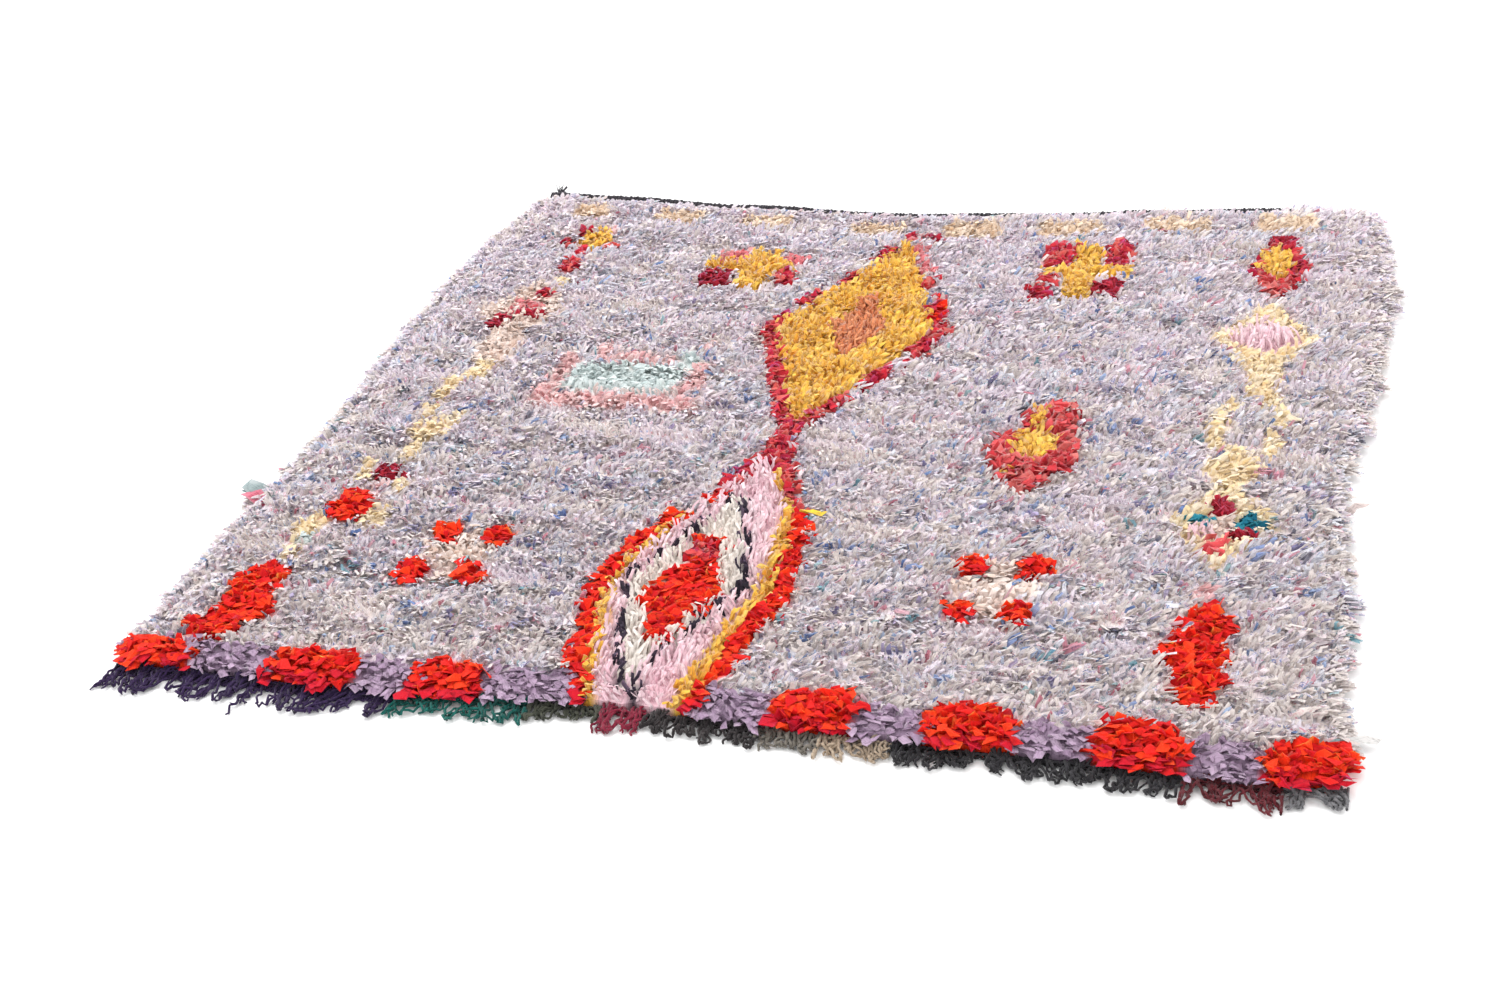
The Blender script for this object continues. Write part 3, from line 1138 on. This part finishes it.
def rag_faces(n, rings, edges, run):
    """The corners of all faces, with their places on the cloth and in one cell of the bake map."""
    base = (np.arange(n) * rings * SIDES)[:, None]
    corners, cut_u, cut_v, bake_u, bake_v = [], [], [], [], []
    for ring in range(rings - 1):
        for side in range(SIDES):
            low, high = ring * SIDES, (ring + 1) * SIDES
            after = (side + 1) % SIDES
            corners.append(base + np.array([low + side, low + after, high + after, high + side]))
            sides = [side, side + 1, side + 1, side]
            levels = [ring, ring, ring + 1, ring + 1]
            cut_u.append(edges[:, levels, sides])
            cut_v.append(run[:, levels])
            bake_u.append(np.tile(np.array(sides) / SIDES, (n, 1)))
            bake_v.append(np.tile((np.array(levels) + 0.4) / rings, (n, 1)))
    top = (rings - 1) * SIDES
    corners.append(base + np.array([2, 1, 0]))
    corners.append(base + np.array([top, top + 1, top + 2]))
    for level, low_v, high_v in ((0, 0.0, 0.06), (rings - 1, 0.94, 1.0)):
        cut_u.append(edges[:, 0, 0][:, None] + np.array([0.0, 0.004, 0.002]))
        cut_v.append(run[:, level][:, None] + np.array([0.0, 0.0, 0.003]))
        bake_u.append(np.tile([0.1, 0.9, 0.5], (n, 1)))
        bake_v.append(np.tile([low_v, low_v, high_v], (n, 1)))
    return corners, (cut_u, cut_v), (bake_u, bake_v)


def joined(parts):
    """Several arrays of numbers as one flat list."""
    return np.concatenate([part.ravel() for part in parts])


def rags_object(name, rags, sections):
    """Joins these rags into one object, with their dyes, their cut map and their bake map."""
    points, wide = rag_points(rags, sections)
    n = len(points)
    rings = len(sections)
    edges, run = cut_map(points, wide)
    corners, cut, bake = rag_faces(n, rings, edges, run)
    grid = math.ceil(math.sqrt(n))
    squeeze = 1 - 2 * BAKE_MARGIN
    cells = (np.arange(n) % grid, np.arange(n) // grid)
    atlas = [
        [(cell[:, None] + BAKE_MARGIN + part * squeeze) / grid for part in parts]
        for cell, parts in zip(cells, bake)
    ]
    mesh = bpy.data.meshes.new(name)
    mesh.vertices.add(n * rings * SIDES)
    mesh.vertices.foreach_set("co", points.astype(np.float32).ravel())
    corners = joined(corners)
    mesh.loops.add(len(corners))
    mesh.loops.foreach_set("vertex_index", corners.astype(np.int32))
    quads = (rings - 1) * SIDES
    sizes = np.concatenate([np.full(n * quads, 4), np.full(n * 2, 3)])
    mesh.polygons.add(len(sizes))
    mesh.polygons.foreach_set("loop_start", (np.cumsum(sizes) - sizes).astype(np.int32))
    mesh.polygons.foreach_set("loop_total", sizes.astype(np.int32))
    worn = np.tile(rags["finish"], quads + 2)
    mesh.polygons.foreach_set("material_index", worn.astype(np.int32))
    for map_name, (us, vs) in (("cut", cut), ("OFBake", atlas)):
        flat = np.stack([joined(us), joined(vs)], axis=1)
        mesh.uv_layers.new(name=map_name).uv.foreach_set("vector", flat.astype(np.float32).ravel())
    shade = column(sections, "shade")[None, :, None] * chance.normal(1, SHADE_CHANCE, (n, rings, SIDES))
    dyes = np.repeat(rags["dye"], rings * SIDES, axis=0)
    dyes[:, :3] = (dyes[:, :3] * shade.reshape(-1, 1)).clip(0, 0.95)
    colours = mesh.attributes.new("dye", "FLOAT_COLOR", "POINT")
    colours.data.foreach_set("color", dyes.astype(np.float32).ravel())
    shares = mesh.attributes.new("print_share", "FLOAT", "POINT")
    shares.data.foreach_set("value", np.repeat(rags["print_share"], rings * SIDES).astype(np.float32))
    for finish in FINISH_NAMES:
        mesh.materials.append(FINISHES[finish])
    mesh.shade_flat()
    mesh.update(calc_edges=True)
    made = bpy.data.objects.new(name, mesh)
    bpy.context.scene.collection.objects.link(made)
    return made


print("triangles a rag:", [(len(table) - 1) * SIDES * 2 + 2 for table in (FIELD_SECTIONS, MOTIF_SECTIONS)])

# %% [markdown]
# ## Bands of pile
#
# The pile is split into bands of rows, from the near border to the far one: six bands of field and
# three of motifs. Each stays small enough to handle, and each spans the whole width as the weaver
# made it.

# %% Knot the pile
FIELD_BANDS = 6
MOTIF_BANDS = 3
rags["finish"] = finish_of[cloth]
stray_rags = {
    "x": [s.x for s in STRAYS], "y": [s.y for s in STRAYS],
    "lean_x": [s.reach_x for s in STRAYS], "lean_y": [s.reach_y for s in STRAYS],
    "tall": [s.tall for s in STRAYS], "curl": [0.9] * len(STRAYS),
    "width": [s.width for s in STRAYS], "fold": [0.0025] * len(STRAYS),
    "dye": [linear(s.dye) for s in STRAYS], "print_share": [0.0] * len(STRAYS),
    "turn": [0.2] * len(STRAYS), "twist": [0.3] * len(STRAYS),
    "finish": [FINISH_NAMES.index("plain")] * len(STRAYS),
}
in_field = cloth == PRINT
field_rags = {field: rags[field][in_field] for field in stray_rags}
motif_rags = {
    field: np.concatenate([rags[field][~in_field], np.array(strays)])
    for field, strays in stray_rags.items()
}
pile_bands = []
for kind, bands, sections, chosen in (
    ("field", FIELD_BANDS, FIELD_SECTIONS, field_rags), ("motif", MOTIF_BANDS, MOTIF_SECTIONS, motif_rags)
):
    order = np.argsort(chosen["y"])
    for band, members in enumerate(np.array_split(order, bands)):
        in_band = {field: values[members] for field, values in chosen.items()}
        made = rags_object(f"{kind}_band_{band + 1}", in_band, sections)
        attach(made, "root")
        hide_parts("pile")
        pile_bands.append(made)
        print(made.name, "has", len(members), "rags")

# %% [markdown]
# ## The bed of packed knots
#
# Each row is beaten down on the last, so the lower part of the pile is one dense mass of cloth and
# only the upper part of each rag is free. The bed is a grid laid out like the ground. Its top side
# is lifted to about two thirds of the height of the pile and made lumpy, in the cloths of the chart.

# %% Pack the bed
BED_CELLS = 104
BED_SHARE = 0.66
BED_LUMP = 0.0042
BED_BOTTOM = 0.0041
BED_SHADE = 0.92
BED_INSET = 0.996
BED_UNEVEN = 0.0016

bpy.ops.object.select_all(action="DESELECT")
bpy.ops.mesh.primitive_grid_add(x_subdivisions=BED_CELLS, y_subdivisions=BED_CELLS, size=2)
bed = bpy.context.object
bed.name = "packed_knots"
flat = np.array([vert.co for vert in bed.data.vertices])
bed_x, bed_y = lay_out((flat[:, 0] * BED_INSET + 1) / 2, (flat[:, 1] * BED_INSET + 1) / 2)
bed_x = bed_x + chance.normal(0, BED_UNEVEN, len(bed_x)) * (abs(flat[:, 0]) < 0.999)
bed_y = bed_y + chance.normal(0, BED_UNEVEN, len(bed_y)) * (abs(flat[:, 1]) < 0.999)
lift = pile_height(bed_x, bed_y) * BED_SHARE + chance.uniform(-0.5, 0.5, len(bed_x)) * BED_LUMP
for vert, x, y, z in zip(bed.data.vertices, bed_x, bed_y, lift.clip(BED_BOTTOM + 0.002)):
    vert.co = (x, y, z)
top_faces = len(bed.data.polygons)
bpy.ops.object.mode_set(mode="EDIT")
bpy.ops.mesh.select_all(action="SELECT")
bpy.ops.mesh.extrude_region_move(TRANSFORM_OT_translate={"value": (0, 0, 0)})
bpy.ops.object.mode_set(mode="OBJECT")
for polygon in bed.data.polygons:
    if polygon.select:
        for number in polygon.vertices:
            bed.data.vertices[number].co.z = BED_BOTTOM
bpy.ops.object.mode_set(mode="EDIT")
bpy.ops.mesh.select_all(action="SELECT")
bpy.ops.mesh.normals_make_consistent(inside=False)
bpy.ops.object.mode_set(mode="OBJECT")
bed.data.shade_flat()
points = np.array([vert.co for vert in bed.data.vertices])
packed = chart(points[:, 0], points[:, 1])
bed_dye = np.array([linear(CLOTHS[name].dyes[0]) for name in CLOTH_NAMES])[packed]
field_here = packed == PRINT
bed_dye[field_here] = tones[chance.integers(0, len(tones), field_here.sum())]
bed_dye[:, :3] *= BED_SHADE
layer = bed.data.attributes.new("dye", "FLOAT_COLOR", "POINT")
layer.data.foreach_set("color", bed_dye.astype(np.float32).ravel())
bed_share = bed.data.attributes.new("print_share", "FLOAT", "POINT")
bed_share.data.foreach_set("value", (0.8 * field_here).astype(np.float32))
corner_places = points[[loop.vertex_index for loop in bed.data.loops]][:, :2]
bed.data.uv_layers[0].name = "cut"
bed.data.uv_layers["cut"].uv.foreach_set("vector", corner_places.astype(np.float32).ravel())
bed.data.materials.append(FINISHES["printed"])
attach(bed, "root")
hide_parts("pile")
print("bed of", len(bed.data.polygons), "faces")

# %% [markdown]
# ## The ground
#
# Under the pile lies the ground, a firm plain weave of wool warp and weft. It starts as a grid, its
# points are laid out to the rug's own outline, and Solidify gives it 4 mm. From below, each row of
# knots shows as small dashes of its cloth between lines of dark weft.

# %% Weave the ground
GROUND_THICK = 0.0040
GROUND_CELLS = 64

bpy.ops.object.select_all(action="DESELECT")
bpy.ops.mesh.primitive_grid_add(x_subdivisions=GROUND_CELLS, y_subdivisions=GROUND_CELLS, size=2)
ground = bpy.context.object
ground.name = "ground_weave"
flat = np.array([vert.co for vert in ground.data.vertices])
ground_x, ground_y = lay_out((flat[:, 0] + 1) / 2, (flat[:, 1] + 1) / 2)
for vert, x, y in zip(ground.data.vertices, ground_x, ground_y):
    vert.co = (x, y, 0.0)
knotted = chart(ground_x, ground_y)
first_dyes = np.array([linear(CLOTHS[name].dyes[0]) for name in CLOTH_NAMES])
backs = ground.data.attributes.new("dye", "FLOAT_COLOR", "POINT")
backs.data.foreach_set("color", first_dyes[knotted].astype(np.float32).ravel())
thicken = ground.modifiers.new("thickness", "SOLIDIFY")
thicken.thickness = GROUND_THICK
thicken.offset = 1.0
bpy.ops.object.modifier_apply(modifier=thicken.name)
print("ground weave faces:", len(ground.data.polygons))

# %% The ground's finish
WEFT_PITCH = 0.0032


def woven_ground():
    """Wool weft beaten over warp, with the backs of the knots between it in their own cloth."""
    material, shader = new_material("handwoven_wool_ground")
    place = add(material, "TexCoord")
    knots = add(
        material, "TexBrick", offset=0.5, squash=1.0,
        values={
            "Scale": 1.0, "Mortar Size": 0.0017, "Mortar Smooth": 0.3, "Brick Width": KNOT_PITCH,
            "Row Height": ROW_PITCH, "Color1": (1, 1, 1, 1), "Color2": (0.75, 0.75, 0.75, 1),
            "Mortar": (0, 0, 0, 1),
        },
        links={"Vector": place.outputs["Object"]},
    )
    dyed = add(material, "Attribute", attribute_name="dye")
    wool = add(material, "Mix", data_type="RGBA", blend_type="MIX")
    wool.inputs[6].default_value = linear("#37333A")
    links = material.node_tree.links
    links.new(knots.outputs["Color"], wool.inputs[0])
    links.new(dyed.outputs["Color"], wool.inputs[7])
    ribs = add(
        material, "TexWave", wave_type="BANDS", bands_direction="Y",
        values={"Scale": 1 / WEFT_PITCH / 3.14, "Distortion": 1.5, "Detail": 2.0},
        links={"Vector": place.outputs["Object"]},
    )
    bump = add(material, "Bump", values={"Distance": 0.0012}, links={"Height": ribs.outputs["Fac"]})
    links.new(wool.outputs[2], shader.inputs["Base Color"])
    links.new(bump.outputs["Normal"], shader.inputs["Normal"])
    shader.inputs["Roughness"].default_value = 0.95
    return material


ground.data.materials.clear()
ground.data.materials.append(woven_ground())
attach(ground, "root")
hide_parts("pile")
print("weft every", WEFT_PITCH * 1000, "mm")

# %% [markdown]
# ## Wool yarn
#
# The fringe is what is left of the warp: thick, loosely spun wool in whatever colour came to hand.
# Let loose, the twist kinks and curls the yarn. A tube that follows a wavy path makes one end, and
# a diagonal pattern on its own map gives it two plies.

# %% Tubes along many paths
Run = namedtuple("Run", "name left right length lean looped band colour light")
FRINGE_RUNS = [
    Run("aubergine", -0.733, -0.352, 0.058, -0.26, 0.55, 0.0165, "#1D1030", "#3A274F"),
    Run("teal", -0.352, -0.185, 0.047, -0.20, 0.80, 0.0080, "#083E3B", "#12645B"),
    Run("moss", -0.185, -0.100, 0.036, 0.00, 1.00, 0.0060, "#262821", "#4C4E42"),
    Run("crimson", -0.100, -0.042, 0.048, -0.12, 0.70, 0.0060, "#561026", "#8C253C"),
    Run("charcoal", -0.042, 0.092, 0.042, 0.05, 1.00, 0.0070, "#1E1A1C", "#3C3637"),
    Run("pewter", 0.092, 0.165, 0.040, 0.05, 1.00, 0.0055, "#4C463E", "#7C766E"),
    Run("sand", 0.165, 0.245, 0.044, 0.05, 1.00, 0.0055, "#7E6B58", "#B2A08C"),
    Run("black", 0.245, 0.560, 0.041, -0.08, 1.00, 0.0070, "#19171A", "#353337"),
    Run("maroon", 0.560, 0.662, 0.047, 0.10, 0.90, 0.0055, "#3C0F15", "#66212A"),
    Run("ash", 0.662, 0.726, 0.036, 0.30, 0.90, 0.0040, "#3E3D40", "#7A797C"),
]
YARN_SIDES = 4


def tube_mesh(name, paths, radii):
    """One mesh of closed tubes. paths is (tubes, points, 3) and radii (tubes, points)."""
    tubes, rings = paths.shape[:2]
    along = unit(np.gradient(paths, axis=1))
    side = unit(np.cross(along, np.array([0.13, 0.09, 1.0])))
    over = np.cross(along, side)
    angle = np.arange(YARN_SIDES) / YARN_SIDES * 2 * math.pi
    ring = (
        np.cos(angle)[:, None] * side[:, :, None, :] + np.sin(angle)[:, None] * over[:, :, None, :]
    )
    points = paths[:, :, None, :] + ring * radii[:, :, None, None]
    points[..., 2] = points[..., 2].clip(0.0001)
    base = np.arange(tubes)[:, None, None, None] * rings * YARN_SIDES
    r = np.arange(rings - 1)[None, :, None, None] * YARN_SIDES
    s = np.arange(YARN_SIDES)[None, None, :, None]
    after = (s + 1) % YARN_SIDES
    start = base + r
    beyond = start + YARN_SIDES
    quads = np.concatenate([start + s, start + after, beyond + after, beyond + s], axis=3)
    quads = quads.reshape(-1, 4)
    tube_base = np.arange(tubes)[:, None] * rings * YARN_SIDES
    start_caps = tube_base + np.arange(YARN_SIDES)[::-1]
    end_caps = tube_base + (rings - 1) * YARN_SIDES + np.arange(YARN_SIDES)
    faces = quads.tolist() + start_caps.tolist() + end_caps.tolist()
    mesh = bpy.data.meshes.new(name)
    mesh.from_pydata(points.reshape(-1, 3).tolist(), [], faces)
    steps = np.linalg.norm(np.diff(paths, axis=1), axis=2)
    run = np.concatenate([np.zeros((tubes, 1)), np.cumsum(steps, axis=1)], axis=1)
    around_u = np.arange(YARN_SIDES + 1) / YARN_SIDES
    u = np.stack([around_u[:-1], around_u[1:], around_u[1:], around_u[:-1]], axis=1)
    u = np.broadcast_to(u, (tubes, rings - 1, YARN_SIDES, 4))
    v = np.stack([run[:, :-1], run[:, :-1], run[:, 1:], run[:, 1:]], axis=2)
    v = np.broadcast_to(v[:, :, None, :], (tubes, rings - 1, YARN_SIDES, 4))
    quad_uv = np.stack([u.ravel(), v.ravel()], axis=1)
    cap_uv = np.tile([0.5, 0.0], (2 * tubes * YARN_SIDES, 1))
    layer = mesh.uv_layers.new(name="yarn")
    layer.uv.foreach_set("vector", np.concatenate([quad_uv, cap_uv]).astype(np.float32).ravel())
    tint = mesh.attributes.new("tint", "FLOAT", "POINT")
    tints = np.repeat(chance.uniform(0, 1, tubes), rings * YARN_SIDES)
    tint.data.foreach_set("value", tints.astype(np.float32))
    mesh.shade_smooth()
    made = bpy.data.objects.new(name, mesh)
    bpy.context.scene.collection.objects.link(made)
    return made


def wool_yarn(name, dark, light):
    """Carded wool in two plies: a diagonal of lighter and darker turns along the yarn."""
    material, shader = new_material(name)
    yarn = add(material, "UVMap", uv_map="yarn")
    split = add(material, "SeparateXYZ", links={"Vector": yarn.outputs["UV"]})
    turns = add(
        material, "Math", operation="MULTIPLY_ADD", values={1: 1 / 0.0065},
        links={0: split.outputs["Y"], 2: split.outputs["X"]},
    )
    ply = add(material, "Math", operation="PINGPONG", values={1: 0.5}, links={0: turns.outputs["Value"]})
    fuzz = add(
        material, "TexNoise", values={"Scale": 1 / 0.0016, "Detail": 3.0},
        links={"Vector": add(material, "TexCoord").outputs["Object"]},
    )
    tint = add(material, "Attribute", attribute_name="tint")
    mottled = add(
        material, "Math", operation="MULTIPLY_ADD", values={1: 0.6},
        links={0: ply.outputs["Value"], 2: fuzz.outputs["Fac"]},
    )
    shade = add(
        material, "Math", operation="MULTIPLY_ADD", values={1: 0.5},
        links={0: tint.outputs["Fac"], 2: mottled.outputs["Value"]},
    )
    ramp = add(
        material, "MapRange", values={"From Min": 0.45, "From Max": 1.25},
        links={"Value": shade.outputs["Value"]},
    )
    mix = add(material, "Mix", data_type="RGBA")
    mix.inputs[6].default_value = linear(dark)
    mix.inputs[7].default_value = linear(light)
    links = material.node_tree.links
    links.new(ramp.outputs["Result"], mix.inputs[0])
    links.new(mix.outputs[2], shader.inputs["Base Color"])
    bump = add(material, "Bump", values={"Distance": 0.0008}, links={"Height": mottled.outputs["Value"]})
    links.new(bump.outputs["Normal"], shader.inputs["Normal"])
    shader.inputs["Roughness"].default_value = 0.92
    shader.inputs["Sheen Weight"].default_value = 0.15
    shader.inputs["Specular IOR Level"].default_value = 0.2
    return material


print(len(FRINGE_RUNS), "wools")

# %% [markdown]
# ## The fringe
#
# Each wool makes one stretch of fringe. Twined rows along the edge lock the last weft. Below them
# some ends hang loose in curly bundles, and others turn back and form loops like lace, so the floor
# shows through. They lie on the floor and on each other, so their height swells where they cross,
# but no point sinks below the floor.

# %% Curl the loose ends
YARN_RADIUS = 0.0018
BUNDLE_PITCH = 0.0260
YARNS_IN_BUNDLE = 6
END_POINTS = 18
TWINE_POINTS_PER_METRE = 420
TWINE_STEP = 0.0030
LACE_PITCH = 0.0078
LONGEST_END_AT = -0.530
HALF_LENGTH = max(abs(CAD_LOW.y), CAD_HIGH.y)


def kinks(ends, length, share):
    """Small curls along each yarn, aside and outwards, and how it rises over its neighbours."""
    turns = length[:, None] / chance.uniform(0.011, 0.018, (ends, 1))
    phase = chance.uniform(0, 2 * math.pi, (ends, 1))
    size = chance.uniform(0.0014, 0.0040, (ends, 1)) * (0.35 + 0.65 * share)
    lift = 0.5 + 0.5 * np.sin(turns * share * 2 * math.pi * 0.8 + phase * 2.3)
    aside = size * np.sin(turns * share * 2 * math.pi + phase)
    outwards = 0.8 * size * np.cos(turns * share * 2 * math.pi + phase * 1.7)
    return aside, outwards, lift


def loose_ends(run):
    """The paths of a run's ends, gathered in curly bundles that reach out over the floor."""
    bundles = max(2, round((run.right - run.left) / BUNDLE_PITCH * (1.15 - 0.6 * run.looped)))
    pitch = (run.right - run.left) / bundles
    which = np.repeat(np.arange(bundles), YARNS_IN_BUNDLE)
    ends = len(which)
    middle = run.left + (which + 0.5 + chance.uniform(-0.22, 0.22, bundles)[which]) * pitch
    spread = min(pitch, BUNDLE_PITCH) * 0.85
    aside = ((np.tile(np.arange(YARNS_IN_BUNDLE), bundles) + 0.5) / YARNS_IN_BUNDLE - 0.5) * spread
    aside = aside + chance.normal(0, 0.0012, ends)
    length = run.length * chance.uniform(0.68, 1.0, bundles)[which] * chance.uniform(0.74, 1.0, ends)
    longest = np.argmin(abs(middle + aside - LONGEST_END_AT))
    if run.left < LONGEST_END_AT < run.right:
        length[longest] = HALF_LENGTH + float(reach(NEAR_EDGE, LONGEST_END_AT)) - 0.003
    share = np.linspace(0, 1, END_POINTS)[None, :]
    gather = 1 - 0.74 * np.sin(share.clip(0, 0.50) * math.pi) + 0.90 * (share - 0.50).clip(0)
    lean = run.lean + chance.normal(0, 0.17, bundles)[which] + chance.normal(0, 0.06, ends)
    sway = chance.uniform(0.0010, 0.0045, bundles)[which][:, None]
    sway_turns = chance.uniform(0.6, 1.5, bundles)[which][:, None]
    sway_phase = chance.uniform(0, 2 * math.pi, bundles)[which][:, None]
    kink_aside, kink_out, lift = kinks(ends, length, share)
    paths = np.zeros((ends, END_POINTS, 3))
    paths[:, :, 0] = middle[:, None] + aside[:, None] * gather + kink_aside
    paths[:, :, 0] += lean[:, None] * length[:, None] * share
    paths[:, :, 0] += sway * np.sin(sway_turns * share * 2 * math.pi + sway_phase) * share
    paths[:, :, 1] = reach(NEAR_EDGE, middle)[:, None] + 0.002 - (length[:, None] + 0.002) * share
    paths[:, :, 1] += kink_out
    paths[:, :, 2] = YARN_RADIUS + 0.0060 * (1 - share) ** 1.5 + 0.0050 * lift * (1 - 0.40 * share)
    radii = YARN_RADIUS * chance.uniform(0.80, 1.20, (ends, 1)) * (1 - 0.40 * share ** 6)
    return paths, radii * np.ones_like(paths[:, :, 0])


def lace(run):
    """The paths of the ends that turn back: kinked loops side by side and over each other."""
    loops = max(2, round((run.right - run.left) / LACE_PITCH * run.looped))
    middle = np.linspace(run.left, run.right, loops) + chance.normal(0, 0.0034, loops)
    half = chance.uniform(0.0030, 0.0095, loops)
    depth = run.length * chance.uniform(0.34, 0.92, loops)
    lean = run.lean * 0.6 + chance.normal(0, 0.40, loops)
    share = np.linspace(0, 1, END_POINTS)[None, :]
    bow = np.sin(share * math.pi) ** 0.75
    kink_aside, kink_out, lift = kinks(loops, depth * 2.2, share)
    paths = np.zeros((loops, END_POINTS, 3))
    paths[:, :, 0] = middle[:, None] - half[:, None] * np.cos(share * math.pi)
    paths[:, :, 0] += (lean * depth)[:, None] * bow + kink_aside
    paths[:, :, 0] = paths[:, :, 0].clip(run.left, run.right)
    paths[:, :, 1] = reach(NEAR_EDGE, middle)[:, None] - 0.002 - depth[:, None] * bow + kink_out
    paths[:, :, 2] = YARN_RADIUS + 0.0015 + 0.0058 * lift
    radii = YARN_RADIUS * chance.uniform(0.80, 1.25, (loops, 1))
    return paths, radii * np.ones_like(paths[:, :, 0])


def twined_rows(run):
    """Thick twined wefts along the edge, each a wavy tube, and one more on top of them."""
    points = max(12, round((run.right - run.left) * TWINE_POINTS_PER_METRE))
    x = np.linspace(run.left + 0.0005, run.right - 0.0005, points)
    edge = reach(NEAR_EDGE, x)
    paths = []
    rows = [(-0.0040, 0.0068)]
    rows += [(-out, 0.0032 - 0.08 * out) for out in np.arange(0.0020, run.band, TWINE_STEP)]
    for level, (out, lift) in enumerate(rows):
        wave = x / 0.0085 * 2 * math.pi + level * 2.1
        uneven = 0.0016 * drift(x, x * 0 + level, (0.011, 1.0), 91.0)
        y = edge + out + 0.0009 * np.sin(wave) + uneven
        paths.append(np.stack([x, y, lift + 0.0011 * np.cos(wave)], axis=1))
    paths = np.array(paths)
    return paths, np.full(paths.shape[:2], YARN_RADIUS)


fringes = []
for run in FRINGE_RUNS:
    ends = tube_mesh(f"yarn_{run.name}", *loose_ends(run))
    loops = tube_mesh(f"loops_{run.name}", *lace(run))
    twine = tube_mesh(f"twine_{run.name}", *twined_rows(run))
    wool = wool_yarn(f"handspun_wool_{run.name}", run.colour, run.light)
    bpy.ops.object.select_all(action="DESELECT")
    for made in (ends, loops, twine):
        made.data.materials.append(wool)
        made.select_set(True)
    bpy.context.view_layer.objects.active = ends
    bpy.ops.object.join()
    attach(ends, "root")
    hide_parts(f"fringe_{run.name}")
    fringes.append(ends)
print("fringe faces:", sum(len(made.data.polygons) for made in fringes))

# %% [markdown]
# ## The far heading
#
# At the far edge the warp ends were turned back and wrapped with dark wool, so the edge is a firm,
# hairy roll. A wavy core is wrapped by short loops a few millimetres apart, and at the left corner
# the last ends stick out as a wisp.

# %% Wrap the heading
HEADING_LEFT = -0.722
HEADING_RIGHT = 0.585
HEADING_CORE = 0.0046
HEADING_RISE = 0.0102
CORE_POINTS = 260
CORE_TWIST = 0.0024
CORE_RADIUS = 0.0032
WRAP_PITCH = 0.0046
WRAP_POINTS = 9
WISP_ENDS = 22
WISP_POINTS = 10


def heading_line(x):
    """The middle of the roll at each x: its y and its height."""
    swell = drift(x, x * 0, 0.11, 5.0)
    y = reach(FAR_EDGE, x) - HEADING_DEPTH * 0.5
    return y, HEADING_RISE + 0.0014 * swell


def heading_core():
    """Three thick yarns side by side under the wraps."""
    x = np.linspace(HEADING_LEFT, HEADING_RIGHT, CORE_POINTS)
    y, z = heading_line(x)
    paths = []
    for turn in (0.0, 2.1, 4.2):
        twist = x / 0.05 * 2 * math.pi + turn
        over = (y + CORE_TWIST * np.cos(twist), z + CORE_TWIST * np.sin(twist))
        paths.append(np.stack([x, *over], axis=1))
    return np.array(paths), np.full((3, CORE_POINTS), CORE_RADIUS)


def heading_wraps():
    """Short slanting loops of yarn round the core."""
    wraps = round((HEADING_RIGHT - HEADING_LEFT) / WRAP_PITCH)
    x = HEADING_LEFT + (np.arange(wraps) + 0.5) * WRAP_PITCH + chance.normal(0, 0.0008, wraps)
    y, z = heading_line(x)
    angle = np.linspace(-0.25, 1.25, WRAP_POINTS)[None, :] * math.pi
    around = HEADING_CORE * chance.uniform(0.95, 1.22, (wraps, 1))
    slant = chance.uniform(0.6, 1.5, (wraps, 1)) * WRAP_PITCH
    paths = np.zeros((wraps, WRAP_POINTS, 3))
    paths[:, :, 0] = x[:, None] + slant * (angle / math.pi - 0.5)
    paths[:, :, 1] = y[:, None] - around * np.cos(angle)
    paths[:, :, 2] = z[:, None] + around * 1.1 * np.sin(angle)
    radii = chance.uniform(0.0014, 0.0023, (wraps, 1)) * np.ones((1, WRAP_POINTS))
    return paths, radii


def corner_wisp():
    """The loose ends at the left corner, which spread and lift a little."""
    share = np.linspace(0, 1, WISP_POINTS)[None, :]
    out = chance.uniform(0.012, 0.026, (WISP_ENDS, 1))
    aside = chance.uniform(-0.022, 0.012, (WISP_ENDS, 1))
    paths = np.zeros((WISP_ENDS, WISP_POINTS, 3))
    paths[:, :, 0] = HEADING_LEFT + 0.014 + aside * share ** 1.2
    start_y = float(reach(FAR_EDGE, np.array([HEADING_LEFT]))[0]) - HEADING_DEPTH * 0.5
    paths[:, :, 1] = start_y + out * share + 0.0015 * np.sin(share * 14 + aside * 400)
    lift = chance.uniform(-0.004, 0.014, (WISP_ENDS, 1))
    paths[:, :, 2] = 0.009 + lift * share
    return paths, 0.0015 * (1 - 0.5 * share) * np.ones((WISP_ENDS, 1))


heading = tube_mesh("far_heading_roll", *heading_core())
heading_wool = wool_yarn("handspun_wool_heading", "#242126", "#4E4A50")
parts = [heading]
parts.append(tube_mesh("heading_wraps", *heading_wraps()))
parts.append(tube_mesh("heading_wisp", *corner_wisp()))
bpy.ops.object.select_all(action="DESELECT")
for part in parts:
    part.data.materials.append(heading_wool)
    part.select_set(True)
bpy.context.view_layer.objects.active = heading
bpy.ops.object.join()
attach(heading, "root")
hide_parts("far_heading")
print("heading faces:", len(heading.data.polygons))

# %% [markdown]
# ## Hand in
#
# The ground is the one sheet of cloth here. Pile, fringe and heading go with it. Last, the size of
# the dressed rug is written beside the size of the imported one, so that the two can be compared.

added = [bed, *pile_bands, ground, *fringes, heading]
triangles = {made.name: sum(len(p.vertices) - 2 for p in made.data.polygons) for made in added}
print("triangles:", triangles, "in all", sum(triangles.values()))
